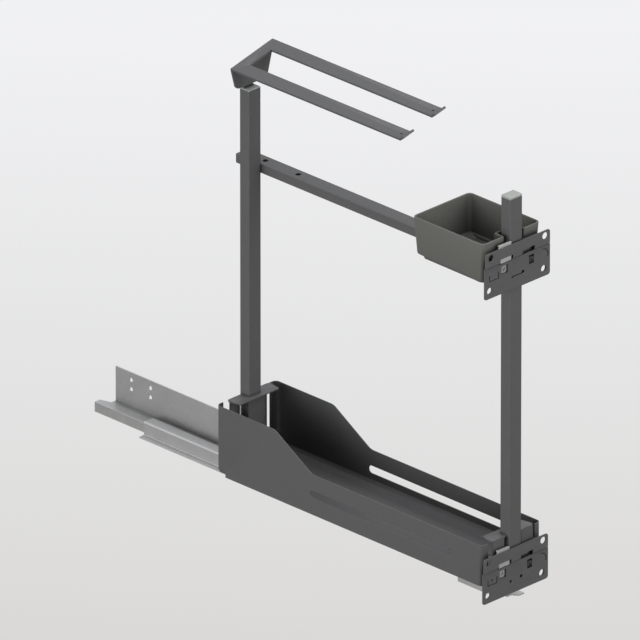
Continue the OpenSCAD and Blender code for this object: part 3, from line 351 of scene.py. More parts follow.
# Sponge box: painted shade that reaches 50 mm darkens its inside below the rim.
BOX = Finish("grained_box_plastic", Slot.BOX, (0.104, 0.104, 0.094), roughness=0.55, specular=0.3,
             relief_size=2200.0, relief=0.16, cloud=0.06, edge_tone=1.25, shade_tone=0.35,
             shade_reach=0.05)
BLACK = Finish("satin_black_plastic", Slot.BLACK, (0.012, 0.012, 0.012), relief_size=1800.0,
               relief=0.06)
# Near-black steel on the carriers and side cams is painted shade: the windows of the door plates
# look dark over it.
WINDOW_SHADE_BLACK = Finish("window_shade_black_steel", Slot.WINDOW_SHADE_BLACK, (0.034, 0.034, 0.034), roughness=0.6, specular=0.3,
               relief_size=1500.0, relief=0.08, edge_tone=1.4)
RUBBER = Finish("matt_buffer_rubber", Slot.RUBBER, (0.022, 0.022, 0.022), roughness=0.8,
                relief_size=1200.0, relief=0.1, cloud=0.15, edge_tone=1.2)


def grid_faces(rows: int, columns: int) -> np.ndarray:
    """Quads between neighbouring points of a grid whose rows are closed loops.

    Face (i, j) joins the points (i, j), (i, j + 1), (i + 1, j + 1) and (i + 1, j), where the last
    column is followed by the first one.

    Args:
        rows: number of rows of points.
        columns: number of points in a row.

    Returns:
        An (n, 4) array of point numbers.
    """
    i = np.arange(rows - 1)[:, None]
    j = np.arange(columns)[None, :]
    here = i * columns + j
    beside = i * columns + (j + 1) % columns
    return np.stack([here, beside, beside + columns, here + columns], -1).reshape(-1, 4)


def rounded_outline(corners: np.ndarray, radii: np.ndarray, steps: int = 6) -> np.ndarray:
    """Closed outline whose corners are arcs.

    At a corner p with unit directions u and v to its neighbours, and h half the angle between
    them, the arc's centre is p + r / sin(h) along the middle of u and v. The arc starts at
    p + r / tan(h) * u, and its points turn evenly about the centre to p + r / tan(h) * v.

    Args:
        corners: (n, 2) corners in order.
        radii: (n,) radius of each corner.
        steps: chords in each arc.

    Returns:
        An (n * (steps + 1), 2) array of points.
    """
    u = np.roll(corners, 1, 0) - corners
    v = np.roll(corners, -1, 0) - corners
    u /= np.linalg.norm(u, axis=1, keepdims=True)
    v /= np.linalg.norm(v, axis=1, keepdims=True)
    half = np.arccos(np.clip((u * v).sum(1), -1.0, 1.0)) / 2
    middle = (u + v) / np.linalg.norm(u + v, axis=1, keepdims=True)
    centre = corners + middle * (radii / np.sin(half))[:, None]
    reach = (radii / np.tan(half))[:, None]
    first, last = corners + u * reach - centre, corners + v * reach - centre
    begin = np.arctan2(first[:, 1], first[:, 0])
    turn = np.arctan2(last[:, 1], last[:, 0]) - begin
    turn = (turn + math.pi) % (2 * math.pi) - math.pi
    angles = begin[:, None] + turn[:, None] * np.linspace(0.0, 1.0, steps + 1)[None, :]
    arc = np.stack([np.cos(angles), np.sin(angles)], -1) * radii[:, None, None]
    return (centre[:, None, :] + arc).reshape(-1, 2)


class Mesh:
    """Turns point grids and CAD solids into finished Blender objects."""

    @staticmethod
    def from_arrays(name: str, points: np.ndarray, faces: list) -> bpy.types.Object:
        """Makes an object from layout points in mm and faces.

        Args:
            name: the piece's name.
            points: (n, 3) points in the layout frame, in mm.
            faces: corner numbers of each face.

        Returns:
            The new object at the origin.
        """
        data = bpy.data.meshes.new(name)
        data.from_pydata(placed(points).tolist(), [], faces)
        data.update()
        made = bpy.data.objects.new(name, data)
        bpy.context.scene.collection.objects.link(made)
        return made

    @staticmethod
    def loft(name: str, shells: list[np.ndarray]) -> bpy.types.Object:
        """Makes an object from closed shells, each a stack of loops capped at both ends.

        A shell is a grid of points p(i, j): i counts its loops from one end to the other and j
        runs round a loop. Its end loops are filled with one face each.

        Args:
            name: the piece's name.
            shells: one (loops, points, 3) array for each shell, in mm in the layout frame.

        Returns:
            The new object with its faces outwards.
        """
        points = np.concatenate([shell.reshape(-1, 3) for shell in shells])
        starts = np.cumsum([0] + [shell.shape[0] * shell.shape[1] for shell in shells[:-1]])
        faces = []
        for shell, first in zip(shells, starts):
            rows, columns = shell.shape[:2]
            faces += (grid_faces(rows, columns) + first).tolist()
            faces.append((np.arange(columns)[::-1] + first).tolist())
            faces.append((np.arange(columns) + first + (rows - 1) * columns).tolist())
        made = Mesh.from_arrays(name, points, faces)
        work = bmesh.new()
        work.from_mesh(made.data)
        bmesh.ops.remove_doubles(work, verts=work.verts, dist=WELD / 2)
        bmesh.ops.recalc_face_normals(work, faces=work.faces)
        work.to_mesh(made.data)
        work.free()
        made.data.shade_smooth()
        made.data.set_sharp_from_angle(angle=math.radians(SMOOTH_ANGLE))
        return made

    @staticmethod
    def finish_edges(obj: bpy.types.Object, width: float, segments: int) -> None:
        """Adds the edge rounding, by edge weight, and evens the shading.

        Args:
            obj: the piece.
            width: width in mm of the rounding at weight 1.
            segments: facets across the rounding.
        """
        rounding = obj.modifiers.new("edge_rounding", "BEVEL")
        rounding.width = width * MM
        rounding.segments = segments
        rounding.limit_method = "WEIGHT"
        rounding.use_clamp_overlap = True
        rounding.miter_outer = "MITER_ARC"
        even = obj.modifiers.new("even_shading", "WEIGHTED_NORMAL")
        even.keep_sharp = False
        even.weight = 60

    @staticmethod
    def weigh_edges(work: bmesh.types.BMesh, edge: float, fold: "Fold | None") -> float:
        """Gives each sharp edge its weight: small on plain edges, larger on folds.

        A concave edge along the fold's axis is the inside of a fold. A convex edge is its outside
        where it lies about one and a half thicknesses from such an edge, across the axis.

        Args:
            work: the welded mesh.
            edge: rounding of a plain edge in mm.
            fold: how the sheet is folded, or None.

        Returns:
            The width in mm that weight 1 stands for.
        """
        widest = max(edge, fold.outer) if fold else edge
        layer = work.edges.layers.float.new("bevel_weight_edge")
        sharp = [e for e in work.edges
                 if len(e.link_faces) == 2 and e.calc_face_angle() > math.radians(SHARP_ANGLE)]
        for e in sharp:
            e[layer] = edge / widest
        if not fold:
            return widest
        across = [k for k in range(3) if k != fold.axis.value]
        along = [e for e in sharp if e.calc_length() > fold.shortest * MM
                 and abs((e.verts[1].co - e.verts[0].co).normalized()[fold.axis.value]) > 0.999]
        place = np.array([[e.verts[0].co[k] for k in across] for e in along]).reshape(-1, 2)
        hollow = np.array([not e.is_convex for e in along], dtype=bool)
        if not hollow.any():
            return widest
        gap = np.linalg.norm(place[:, None, :] - place[None, hollow, :], axis=2)
        near = gap + np.where(gap < 0.5 * fold.sheet * MM, 1.0, 0.0)
        outside = ~hollow & (near.min(1) < 1.75 * fold.sheet * MM)
        for e, inner, outer in zip(along, hollow, outside):
            if inner or outer:
                e[layer] = (fold.inner if inner else fold.outer) / widest
        return widest

    @staticmethod
    def copy_of(node: str, edge: float, segments: int = 2,
                fold: "Fold | None" = None) -> bpy.types.Object:
        """A welded copy of a CAD node with rounded edges and folds, which stands for the node.

        Args:
            node: the CAD node's name.
            edge: width of the edge rounding in mm, or 0 for none.
            segments: facets across the rounding.
            fold: how the node's sheet is folded, or None.

        Returns:
            The piece that replaces the node.
        """
        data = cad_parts[node].data.copy()
        data.name = node + "_dressed"
        work = bmesh.new()
        work.from_mesh(data)
        bmesh.ops.remove_doubles(work, verts=work.verts, dist=WELD)
        bmesh.ops.dissolve_limit(work, angle_limit=math.radians(FLAT_ANGLE), verts=work.verts,
                                 edges=work.edges)
        widest = Mesh.weigh_edges(work, edge, fold) if edge > 0 else 0.0
        work.to_mesh(data)
        work.free()
        data.materials.clear()
        data.shade_smooth()
        made = bpy.data.objects.new(node + "_dressed", data)
        bpy.context.scene.collection.objects.link(made)
        if edge > 0:
            Mesh.finish_edges(made, widest, 4 if fold else segments)
        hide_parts(node)
        return made


class Axis(Enum):
    """Direction that a fold or a screw runs along."""

    ACROSS = 0
    ALONG = 1
    UP = 2


@dataclass(frozen=True)
class Fold:
    """How a sheet is folded.

    Attributes:
        sheet: thickness in mm.
        axis: direction of the folds.
        inner: rounding inside a fold in mm.
        outer: rounding outside a fold in mm.
        shortest: shortest fold in mm.
    """

    sheet: float
    axis: Axis = Axis.ALONG
    inner: float = 0.9
    outer: float = 2.2
    shortest: float = 8.0


def seat(piece: bpy.types.Object, finish: Finish, body: str) -> bpy.types.Object:
    """Gives a piece its finish and lets it move with its body.

    Args:
        piece: the finished piece.
        finish: its finish.
        body: the CAD body that it rides on.

    Returns:
        The same piece.
    """
    piece.data.materials.clear()
    piece.data.materials.append(finish.material())
    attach(piece, body)
    log.info("%s: %s on %s", piece.name, finish.name, body)
    return piece


@dataclass(frozen=True)
class Dress:
    """How a CAD node is finished when its own shape is kept.

    Attributes:
        finish: its finish.
        edge: rounding of its edges in mm, or 0 for none.
        fold: how its sheet is folded, or None.
        segments: facets across the rounding.
    """

    finish: Finish
    edge: float = 0.3
    fold: Fold | None = None
    segments: int = 2


@dataclass
class SubAssembly:
    """Pieces of one body: CAD nodes with rounded edges and folds, and surfaces of its own.

    Attributes:
        body: the CAD body.
        dressed: node name to how it is finished.
    """

    body: str
    dressed: dict[str, Dress] = field(default_factory=dict)

    def build(self) -> None:
        """Dresses every node of the sub-assembly."""
        for node, dress in self.dressed.items():
            made = Mesh.copy_of(node, dress.edge, dress.segments, dress.fold)
            seat(made, dress.finish, self.body)


@dataclass
class Runner(SubAssembly):
    """One stage of the telescopic runner: folded zinc sheet, or a cage with its balls."""


class Section(Enum):
    """Cross-section of a turned part."""

    ROUND = "round"
    HEX = "hex"

    def reach(self, angle: np.ndarray) -> np.ndarray:
        """Distance from the middle to the outline at each angle, where a corner's is 1.

        For a hexagon it is cos(30) / cos(angle from the middle of the nearest side).

        Args:
            angle: the angles in radians.

        Returns:
            One distance for each angle.
        """
        if self is Section.ROUND:
            return np.ones(len(angle))
        side = (angle + math.pi / 6) % (math.pi / 3) - math.pi / 6
        return math.cos(math.pi / 6) / np.cos(side)


AROUND = np.arange(36) * 2 * math.pi / 36    # angles of the points round a screw or a nut


@dataclass(frozen=True)
class Fastener:
    """Socket screw, drawn from the tip of its shank to the socket in its head.

    Attributes:
        shank: diameter of the shank in mm.
        length: length under the head.
        head: diameter of the head.
        head_height: height of the head.
        head_top: diameter of the head's top.
        socket: width of the socket across its corners.
        socket_depth: depth of the socket.
        pitch: pitch of the thread.
        thread: length of the thread from the tip.
    """

    shank: float
    length: float
    head: float
    head_height: float
    head_top: float
    socket: float
    socket_depth: float
    pitch: float = 0.9
    thread: float = 6.0

    def shell(self) -> np.ndarray:
        """The screw's loops along +Z, with Z 0 under the head.

        In the thread the radius is the shank's less a ridge depth times a triangle wave of
        height / pitch - angle / turn, so that the ridges climb one pitch in each turn.

        Returns:
            A (loops, around, 3) array in mm.
        """
        half, head, top = self.shank / 2, self.head / 2, self.head_top / 2
        tip, rim, bevel = -self.length, self.head_height, 0.12 * self.head_height
        thread_z = np.linspace(tip + 0.3, tip + self.thread, int(self.thread / self.pitch * 8))
        turn = (thread_z[:, None] / self.pitch - AROUND[None, :] / (2 * math.pi)) % 1.0
        thread = half - 0.12 * self.shank * 0.9 * np.abs(2 * turn - 1)
        plain = np.array([(tip + self.thread + 0.01, half), (0.0, half), (0.0, head - bevel),
                          (bevel, head), (rim - 2 * bevel, top + bevel),
                          (rim - 0.6 * bevel, top - 0.3 * bevel), (rim, top - 1.6 * bevel)])
        sunk = np.array([(rim, self.socket / 2 + 0.1), (rim - 0.1, self.socket / 2),
                         (rim - self.socket_depth, self.socket / 2)])
        circle, hexagon = Section.ROUND.reach(AROUND), Section.HEX.reach(AROUND)
        radius = np.concatenate([0.8 * half * circle[None, :], thread, plain[:, 1:] * circle,
                                 sunk[:, 1:] * hexagon])
        height = np.concatenate([[tip], thread_z, plain[:, 0], sunk[:, 0]])
        return np.stack([radius * np.cos(AROUND), radius * np.sin(AROUND),
                         np.broadcast_to(height[:, None], radius.shape)], -1)

    def at(self, place: tuple[float, float, float], axis: Axis, way: int) -> np.ndarray:
        """The screw moved to its seat.

        Args:
            place: layout point in mm under the middle of the head.
            axis: direction of the screw.
            way: 1 where the head points along the axis, -1 where it points against it.

        Returns:
            A (loops, around, 3) array.
        """
        order = {Axis.ACROSS: (2, 0, 1), Axis.ALONG: (1, 2, 0), Axis.UP: (0, 1, 2)}[axis]
        turned = self.shell()[:, :, list(order)]
        turned[:, :, axis.value] *= way
        return turned + np.asarray(place, float)


def hex_nut(place: tuple[float, float, float], across: float, height: float,
            bevel: float = 0.35) -> np.ndarray:
    """Loops of a hexagonal nut with its axis along X, whose end loops the bevel draws in.

    Args:
        place: layout point in mm at the middle of the nut's seat.
        across: width across its corners.
        height: its height along +X.
        bevel: how far its ends draw in.

    Returns:
        A (loops, points, 3) array.
    """
    level = np.array([0.0, bevel, height - bevel, height])
    radius = across / 2 - np.array([bevel, 0.0, 0.0, bevel])
    reach = radius[:, None] * Section.HEX.reach(AROUND)[None, :]
    return np.stack([np.broadcast_to(level[:, None], reach.shape), reach * np.cos(AROUND),
                     reach * np.sin(AROUND)], -1) + np.asarray(place, float)


@dataclass
class Tray(SubAssembly):
    """Bottle tray: two sides and a floor, screwed through the floor to the runner's brackets.

    Attributes:
        floor_level: level of the floor's upper face in mm.
        screw_x: the screws' places across the tray.
        screw_y: their places along it.
        screw: the countersunk socket screw.
    """

    floor_level: float = 5.0
    screw_x: tuple[float, ...] = (-6.0, 8.0)
    screw_y: tuple[float, ...] = (42.0, 88.0, 388.0, 404.0)
    screw: Fastener = Fastener(5.0, 11.3, 9.4, 2.4, 6.5, 3.0, 1.6)

    def build(self) -> None:
        """Dresses the tray's sheet and makes its screws, whose threads stand under the floor."""
        super().build()
        shells = [self.screw.at((x, y, self.floor_level), Axis.UP, 1)
                  for x in self.screw_x for y in self.screw_y]
        made = Mesh.loft("tray_socket_screws", shells)
        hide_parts("tray_screws")
        seat(made, DULL, self.body)


@dataclass
class Columns(SubAssembly):
    """Front and rear column with their brackets, caps and foot screws.

    Attributes:
        pitch: distance of the two columns in mm.
        top: level of the tubes' tops.
        cap: half width and half depth of a cap.
        cap_height: height of the front cap.
        cap_dome: how far its rim is rounded over.
        plug: half width and half depth of the cap's plug.
        plug_depth: how deep the plug sits in the tube.
        plug_taper: how far its lower end draws in.
        cap_corner: corner radius of the cap and the plug.
        cap_flat: how far the last loop of the top lies inside the cap's sides.
        foot_seat: level of the foot screw's head.
        foot_screw: the foot screw.
    """

    pitch: float = 426.0
    top: float = 481.0
    cap: tuple[float, float] = (9.9, 7.4)
    cap_height: float = 3.0
    cap_dome: float = 1.2
    plug: tuple[float, float] = (8.4, 5.9)
    plug_depth: float = 10.0
    plug_taper: float = 0.6
    cap_corner: float = 1.1
    cap_flat: float = 4.0
    foot_seat: float = 2.3
    foot_screw: Fastener = Fastener(6.0, 14.5, 11.0, 3.4, 10.2, 4.6, 2.4, 1.0, 12.0)

    def cap_shell(self) -> np.ndarray:
        """Loops of the front cap from the plug's end to the middle of the dome.

        Each loop is a rounded rectangle. Over the rim its inset is dome * (1 - cos a) and its
        level top + height - dome + dome * sin a, for a from 0 to 90 degrees.

        Returns:
            A (loops, points, 3) array in mm.
        """
        turn = np.linspace(0.0, math.pi / 2, 7)
        inset = self.cap_dome * (1 - np.cos(turn))
        level = self.top + self.cap_height - self.cap_dome + self.cap_dome * np.sin(turn)
        low, taper = self.top - self.plug_depth, self.plug_taper
        stack = [(self.plug, taper, low), (self.plug, 0.0, low + taper), (self.plug, 0.0, self.top),
                 (self.cap, 0.0, self.top)]
        stack += [(self.cap, i, z) for i, z in zip(inset, level)]
        stack += [(self.cap, self.cap_flat, self.top + self.cap_height)]
        loops = []
        for half, drawn, z in stack:
            x, y = half[0] - drawn, half[1] - drawn
            plan = rounded_outline(np.array([[-x, -y], [x, -y], [x, y], [-x, y]]),
                                   np.full(4, self.cap_corner))
            loops.append(np.column_stack([plan, np.full(len(plan), z)]))
        return np.array(loops)

    def build(self) -> None:
        """Dresses the columns' sheet and makes the front cap and the foot screws."""
        super().build()
        cap = Mesh.loft("front_cap_dome", [self.cap_shell()])
        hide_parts("front_column_cap")
        seat(cap, CAP, self.body)
        shells = [self.foot_screw.at((0.0, y, self.foot_seat), Axis.UP, -1)
                  for y in (0.0, self.pitch)]
        screws = Mesh.loft("foot_socket_screws", shells)
        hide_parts("column_foot_screws")
        seat(screws, BRIGHT, self.body)


@dataclass
class CrossRail(SubAssembly):
    """Cross rail at the columns' right side, with the screws that hold it.

    Attributes:
        side: where the screw heads rest, across the cabinet in mm.
        level: level of the rail's middle.
        pitch: distance of the two screws.
        screw: the pan head screw.
    """

    side: float = 30.0
    level: float = 377.4
    pitch: float = 426.0
    screw: Fastener = Fastener(5.0, 26.0, 9.0, 2.6, 7.6, 3.5, 1.6, 0.8, 16.0)

    def build(self) -> None:
        """Dresses the rail and makes its screws."""
        super().build()
        shells = [self.screw.at((self.side, y, self.level), Axis.ACROSS, 1)
                  for y in (0.0, self.pitch)]
        made = Mesh.loft("cross_rail_socket_screws", shells)
        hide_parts("cross_rail_screws")
        seat(made, BRIGHT, self.body)


@dataclass
class SpongeBox(SubAssembly):
    """Moulded box that lifts off the cross rail, with a recess round the front column.

    Attributes:
        middle: place of its middle across the cabinet in mm.
        half_width: half its width at the rim.
        front: its front end.
        length: its length.
        base: level of its underside.
        height: its height.
        wall: its wall.
        draft: how far each side draws in to the bottom.
        radius: its corner radius.
        foot: radius between side and bottom.
        inner_foot: the same inside the box.
        recess: left and right side of the recess.
        recess_end: back of the recess.
        recess_radius: its corner radius.
        step: length and height of the step under its rear end.
        ribs: left faces of the two ribs that clasp the rail.
        rib: thickness and depth of a rib.
        rib_short: distance of the ribs from the box's ends.
    """

    middle: float = -2.7
    half_width: float = 47.3
    front: float = -3.2
    length: float = 115.1
    base: float = 383.5
    height: float = 52.5
    wall: float = 2.0
    draft: float = 2.6
    radius: float = 6.0
    foot: float = 5.0
    inner_foot: float = 3.0
    recess: tuple[float, float] = (-14.8, 16.5)
    recess_end: float = 10.0
    recess_radius: float = 2.2
    step: tuple[float, float] = (12.5, 4.0)
    ribs: tuple[float, float] = (8.1, 30.3)
    rib: tuple[float, float] = (1.6, 6.0)
    rib_short: float = 20.0

    def outline(self, inset: float, rear: float, offset: float, level: float) -> np.ndarray:
        """One loop round the box, with the recess in its front.

        Args:
            inset: how far the sides and the front draw in from the rim.
            rear: how far the rear draws in.
            offset: how far the loop lies inside the wall's outer face, 0 to the wall.
            level: its level in mm.

        Returns:
            A (points, 3) array; its eight corners are arcs.
        """
        half = self.half_width - inset - offset
        west, east = self.middle - half, self.middle + half
        near, far = self.front + inset + offset, self.front + self.length - rear - offset
        left, right = self.recess[0] - offset, self.recess[1] + offset
        back = self.recess_end + offset
        corners = np.array([[west, near], [left, near], [left, back], [right, back], [right, near],
                            [east, near], [east, far], [west, far]])
        outer, inner = self.radius - 0.5 * offset, self.recess_radius - 0.4 * offset
        radii = np.array([outer, inner, inner, inner, inner, outer, outer, outer])
        plan = rounded_outline(corners, radii)
        return np.column_stack([plan, np.full(len(plan), level)])

    def shell(self) -> np.ndarray:
        """Loops from under the box, up its wall, over the rim and down to its inner floor.

        The outer foot is an arc: inset draft + foot * (1 - sin a) at level foot * (1 - cos a). The
        rim is half a circle across the wall, and the inner foot an arc of its own. Loops under the
        box stop short of the rear step, whose points are lifted by its height.

        Returns:
            A (loops, points, 3) array in mm.
        """
        arc = np.linspace(0.0, math.pi / 2, 7)
        end = self.front + self.length - self.step[0]
        low = self.draft + self.foot
        under = [self.outline(low, self.step[0] + 0.5, 0.0, self.base),
                 self.outline(low, self.step[0] + 0.1, 0.0, self.base)]
        drawn = self.draft + self.foot * (1 - np.sin(arc))
        foot = [self.outline(d, d, 0.0, self.base + self.foot * (1 - math.cos(a)))
                for d, a in zip(drawn, arc)]
        for loop in foot:
            behind = loop[:, 1] > end
            lifted = self.base + self.step[1] + (loop[:, 2] - self.base) * 0.6
            loop[:, 2] = np.where(behind, lifted, loop[:, 2])
        top = self.base + self.height
        half = self.wall / 2
        rim = [self.outline(0.0, 0.0, half * (1 - math.cos(a)), top - half + half * math.sin(a))
               for a in np.linspace(0.0, math.pi, 9)]
        floor = self.base + self.wall
        drawn = self.draft + self.inner_foot * (1 - np.sin(arc))
        inner = [self.outline(d, d, self.wall, floor + self.inner_foot * (1 - math.cos(a)))
                 for d, a in zip(drawn[::-1], arc[::-1])]
        for loop in inner:
            behind = loop[:, 1] > end - self.wall
            loop[:, 2] = np.where(behind, np.maximum(loop[:, 2], floor + self.step[1]), loop[:, 2])
        middle = self.draft + self.inner_foot + 0.2
        well = [self.outline(middle, self.step[0] + self.wall, self.wall, floor)]
        return np.array(under + foot + rim + inner + well)

    def rib_shell(self, left: float) -> np.ndarray:
        """Loops of one rib, a narrow bar that tapers a little to its lower edge.

        Args:
            left: its left face in mm.

        Returns:
            A (loops, points, 3) array.
        """
        y0, y1 = self.front + self.rib_short, self.front + self.length - self.rib_short
        loops = []
        for inset, level in ((0.45, -self.rib[1]), (0.2, -self.rib[1] + 0.4), (0.0, 1.0)):
            a, b = left + inset, left + self.rib[0] - inset
            near, far = y0 + inset, y1 - inset
            plan = rounded_outline(np.array([[a, near], [b, near], [b, far], [a, far]]),
                                   np.full(4, 0.3))
            loops.append(np.column_stack([plan, np.full(len(plan), self.base + level)]))
        return np.array(loops)

    def build(self) -> None:
        """Makes the box with its two ribs."""
        shells = [self.shell()] + [self.rib_shell(x) for x in self.ribs]
        made = Mesh.loft("sponge_box_shell", shells)
        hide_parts("sponge_box")
        seat(made, BOX, self.body)


@dataclass
class DoorUnit(SubAssembly):
    """Carrier of one door plate on the front column, with the bolt that holds it.

    Attributes:
        name: upper or lower.
        level: level of the plate's lower edge in mm.
        bolt_at: place of the bolt along the cabinet and above the plate's lower edge.
        cheek: how far the carrier's cheeks stand from the column's middle.
        bolt: the socket bolt.
        nut: the nut's width across its corners and its height.
    """

    name: str = "upper"
    level: float = 367.9
    bolt_at: tuple[float, float] = (2.0, 46.0)
    cheek: float = 11.1
    bolt: Fastener = Fastener(4.0, 25.8, 7.4, 2.2, 6.6, 2.9, 1.3, 0.7, 8.0)
    nut: tuple[float, float] = (7.8, 3.2)

    def build(self) -> None:
        """Dresses the carrier and makes its bolt and nut."""
        super().build()
        y, z = self.bolt_at[0], self.level + self.bolt_at[1]
        shells = [self.bolt.at((-self.cheek, y, z), Axis.ACROSS, -1),
                  hex_nut((self.cheek, y, z), *self.nut)]
        made = Mesh.loft(f"{self.name}_carrier_socket_bolt", shells)
        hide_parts(f"{self.name}_carrier_bolt")
        seat(made, DULL, self.body)


@dataclass
class Studio:
    """Camera at the photograph's angle, pale floor and plain soft light.

    Attributes:
        azimuth: camera azimuth in degrees, 0 looks along +Y.
        elevation: camera elevation in degrees.
        aim: layout point in mm at the middle of the picture.
        frame_width: width in mm that the picture spans at the aim.
        lens: focal length in mm, so long that edges look parallel, and short enough that the
            camera of any other view still has the object within its clipping.
        floor_level: layout level of the floor in mm.
        floor_span: half the floor's width in mm.
        floor_tones: the floor's tone nearest to the viewer, in the middle and furthest away.
        plain_share: share of the floor's own tone that the camera sees beside the lit one.
        bounce: tone of the floor to light that it throws back at the object.
        mirror: strength of the floor's tone in reflections.
        sky: strength of the surroundings as a light.
        sky_seen: their strength in reflections and to the camera.
        sky_tone: their tone.
        lamp_distance: distance in metres of each lamp from the aim.
        key: azimuth, elevation, size in metres and power in watts of the lamp at the left.
        fill: the same for the lamp in front.
        top: the same for the lamp overhead.
    """

    azimuth: float = -45.022
    elevation: float = 24.898
    aim: tuple[float, float, float] = (31.75, 343.29, 200.83)
    frame_width: float = 744.4
    lens: float = 1500.0
    floor_level: float = -420.0
    floor_span: float = 40000.0
    floor_tones: tuple[tuple[float, float, float], ...] = (
        (0.688, 0.680, 0.668), (0.808, 0.808, 0.810), (0.945, 0.945, 0.962))
    plain_share: float = 0.75
    bounce: float = 0.15
    mirror: float = 0.5
    sky: float = 0.38
    sky_seen: float = 0.85
    sky_tone: tuple[float, float, float] = (0.93, 0.94, 0.96)
    lamp_distance: float = 3.0
    key: tuple[float, float, float, float] = (-95.0, 6.0, 2.5, 82.0)
    fill: tuple[float, float, float, float] = (10.0, 15.0, 2.5, 45.0)
    top: tuple[float, float, float, float] = (30.0, 75.0, 2.5, 76.0)

    def back(self) -> Vector:
        """Unit vector from the aim to the camera."""
        return direction(self.azimuth, self.elevation)

    def aim_point(self) -> Vector:
        """The aim in the row frame."""
        return Vector(placed(np.array([self.aim]))[0])

    def camera(self) -> None:
        """Makes the camera; distance = lens * width / sensor keeps the picture's scale."""
        data = bpy.data.cameras.new("camera")
        data.lens = self.lens
        distance = self.lens * self.frame_width * MM / data.sensor_width
        data.clip_start, data.clip_end = distance * 0.2, distance * 3
        cam = bpy.data.objects.new("camera", data)
        bpy.context.scene.collection.objects.link(cam)
        cam.location = self.aim_point() + self.back() * distance
        cam.rotation_mode = "QUATERNION"
        cam.rotation_quaternion = (-self.back()).to_track_quat("-Z", "Y")
        bpy.context.scene.camera = cam

    def floor(self) -> None:
        """Makes the pale floor, whose tone falls off towards the viewer as in the photograph."""
        x, y, z = self.aim[0], self.aim[1], self.floor_level
        corners = np.array([(x + i * self.floor_span, y + j * self.floor_span, z)
                            for i, j in ((-1, -1), (1, -1), (1, 1), (-1, 1))])
        made = Mesh.from_arrays("floor", corners, [(0, 1, 2, 3)])
        made.data.materials.append(self.floor_material())

    def floor_material(self) -> bpy.types.Material:
        """Pale floor: mostly its own plain tone to the camera, with the object's soft shadow.

        Seen from below it is clear, so that the object's underside shows.

        Returns:
            The material.
        """
        made = bpy.data.materials.new("pale_floor")
        made.use_nodes = True
        made.node_tree.nodes.clear()
        kit = NodeKit(made.node_tree)
        place = kit.add("TexCoord").outputs["Object"]
        away = -self.back()
        flat = Vector((away.x, away.y, 0.0)).normalized()
        depth = kit.add("VectorMath", {0: place, 1: tuple(flat)}, operation="DOT_PRODUCT")
        drop = self.aim[2] - self.floor_level
        shift = drop * MM / math.tan(math.radians(self.elevation))
        start = flat.dot(self.aim_point()) + shift
        reach = 0.5 * self.frame_width * MM / math.sin(math.radians(self.elevation))
        ramp = kit.add("ValToRGB", {"Fac": kit.ramp(depth.outputs["Value"], start - reach,
                                                    start + reach, 0.0, 1.0)})
        stops = ramp.color_ramp.elements
        stops.new(0.5)
        for stop, tone in zip(stops, self.floor_tones):
            stop.color = (*tone, 1.0)
        lit = kit.add("BsdfDiffuse", {"Color": ramp.outputs[0]})
        plain = kit.add("Emission", {"Color": ramp.outputs[0]})
        path = kit.add("LightPath").outputs
        seen = kit.math("MAXIMUM", path["Is Camera Ray"], path["Is Transmission Ray"])
        shown = kit.add("MixShader", {0: self.plain_share, 1: lit.outputs[0], 2: plain.outputs[0]})
        mirrored = kit.add("Emission", {"Color": ramp.outputs[0], "Strength": self.mirror})
        bounce = kit.add("BsdfDiffuse", {"Color": (self.bounce, self.bounce, self.bounce, 1.0)})
        thrown = kit.add("MixShader", {0: path["Is Glossy Ray"], 1: bounce.outputs[0],
                                       2: mirrored.outputs[0]})
        mixed = kit.add("MixShader", {0: seen, 1: thrown.outputs[0], 2: shown.outputs[0]})
        below = kit.add("NewGeometry").outputs["Backfacing"]
        under = kit.math("MULTIPLY", path["Is Camera Ray"], below)
        clear = kit.add("BsdfTransparent")
        one_sided = kit.add("MixShader", {0: under, 1: mixed.outputs[0], 2: clear.outputs[0]})
        kit.add("OutputMaterial", {"Surface": one_sided.outputs[0]})
        return made

    def lamp(self, name: str, azimuth: float, elevation: float, size: float, power: float) -> None:
        """Adds a large soft area lamp aimed at the object.

        Args:
            name: the lamp's name.
            azimuth: direction it stands in, as for the camera.
            elevation: its height angle in degrees.
            size: edge of the lamp in metres.
            power: its power in watts.
        """
        data = bpy.data.lights.new(name, "AREA")
        data.size, data.energy = size, power
        obj = bpy.data.objects.new(name, data)
        bpy.context.scene.collection.objects.link(obj)
        away = direction(azimuth, elevation)
        obj.location = self.aim_point() + away * self.lamp_distance
        obj.rotation_mode = "QUATERNION"
        obj.rotation_quaternion = (-away).to_track_quat("-Z", "Y")

    def world(self) -> None:
        """Makes the even pale surroundings."""
        made = bpy.data.worlds.new("studio")
        made.use_nodes = True
        kit = NodeKit(made.node_tree)
        path = kit.add("LightPath").outputs
        seen = kit.math("MAXIMUM", path["Is Camera Ray"],
                        kit.math("MAXIMUM", path["Is Glossy Ray"], path["Is Transmission Ray"]))
        background = made.node_tree.nodes["Background"]
        background.inputs["Color"].default_value = (*self.sky_tone, 1.0)
        strength = kit.ramp(seen, 0.0, 1.0, self.sky, self.sky_seen)
        kit.tree.links.new(strength, background.inputs["Strength"])
        bpy.context.scene.world = made
        bpy.context.scene.view_settings.view_transform = "Standard"

    def build(self) -> None:
        """Sets up the whole studio."""
        self.camera()
        self.floor()
        self.world()
        for name in ("key", "fill", "top"):
            self.lamp(name, *getattr(self, name))
        log.info("studio ready")


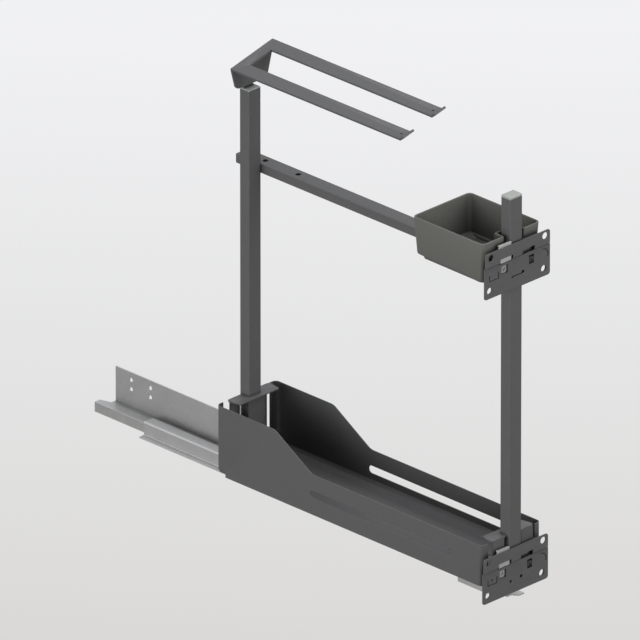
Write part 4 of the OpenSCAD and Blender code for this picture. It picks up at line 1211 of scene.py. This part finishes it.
def assemblies() -> list[SubAssembly]:
    """The sub-assemblies in building order."""
    rail = Dress(RAIL_ZINC, 0.3, Fold(1.5, Axis.ALONG, 1.5, 3.0))
    middle = Dress(ZINC, 0.3, Fold(1.3))
    cage = Dress(BRIGHT, 0.15)
    balls = Dress(BRIGHT, 0.0)
    sheet = Dress(TRAY_PAINT, 0.3)
    tube = Dress(PAINT, 0.35)
    bracket = Dress(PAINT, 0.3, Fold(1.5, Axis.ACROSS, 0.6, 1.8, 6.0))
    parts = [
        Runner("cabinet_side", {"cabinet_rail": rail, "cabinet_track_wall": rail,
                                "closing_buffer": Dress(RUBBER, 0.6)}),
        Runner("middle_stage", {"middle_rail": middle, "middle_track": Dress(ZINC, 0.3)}),
        Runner("outer_cage", {"outer_ball_cage": cage, "outer_balls": balls}),
        Runner("inner_cage", {"inner_ball_cage": cage, "inner_balls": balls}),
        Runner("frame_carriage", {
            "carriage_rail": Dress(ZINC, 0.25, Fold(1.2)),
            "front_runner_bracket": Dress(ZINC, 0.3, Fold(1.5)),
            "rear_runner_bracket": Dress(ZINC, 0.3, Fold(1.5)),
            "runner_rivets": Dress(BRIGHT, 0.25)}),
        Tray("frame_carriage", {"tray_left_side": sheet, "tray_right_side": sheet,
                                "tray_floor": Dress(PAINT, 0.2), "tray_nuts": Dress(BRIGHT, 0.2)}),
        Columns("frame_carriage", {
            "front_column_bracket": bracket, "rear_column_bracket": bracket,
            "front_column_channel": Dress(PAINT, 0.3, Fold(1.5, Axis.UP)),
            "rear_column_channel": Dress(PAINT, 0.3, Fold(1.5, Axis.UP)),
            "front_column": tube, "rear_column": tube, "column_foot_plugs": Dress(BLACK, 0.3),
            "rear_column_cap": Dress(CAP, 0.4)}),
        CrossRail("frame_carriage", {"cross_rail": tube, "cross_rail_plugs": Dress(BLACK, 0.4)}),
        SpongeBox("sponge_box"),
        SubAssembly("frame_carriage", {
            "towel_fork": Dress(PAINT, 0.5, None, 4), "fork_tongue": Dress(PAINT, 0.4),
            "fork_screws": Dress(PAINT, 0.4, None, 3)}),
        # Carriers in near-black steel, as painted shade behind the plates' windows.
        DoorUnit("frame_carriage", {"upper_carrier": Dress(WINDOW_SHADE_BLACK, 0.25)}),
        DoorUnit("frame_carriage", {"lower_carrier": Dress(WINDOW_SHADE_BLACK, 0.25)}, name="lower",
                 level=-19.7),
    ]
    for unit in ("upper", "lower"):
        parts += [
            SubAssembly(f"{unit}_hook", {f"{unit}_hook": Dress(ZINC, 0.25)}),
            SubAssembly(f"{unit}_plate", {f"{unit}_door_plate": Dress(PLATE_PAINT, 0.2)}),
            SubAssembly(f"{unit}_height_cam", {f"{unit}_height_cam": Dress(BRIGHT, 0.2)}),
            # Side cams in near-black steel, as painted shade in their windows.
            SubAssembly(f"{unit}_side_cam", {f"{unit}_side_cam": Dress(WINDOW_SHADE_BLACK, 0.15)}),
        ]
    return parts


def main() -> None:
    """Builds the studio and every sub-assembly."""
    logging.basicConfig(level=logging.INFO, format="%(name)s %(message)s")
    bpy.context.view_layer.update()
    Studio().build()
    for part in assemblies():
        part.build()


if __name__ == "__main__":
    main()
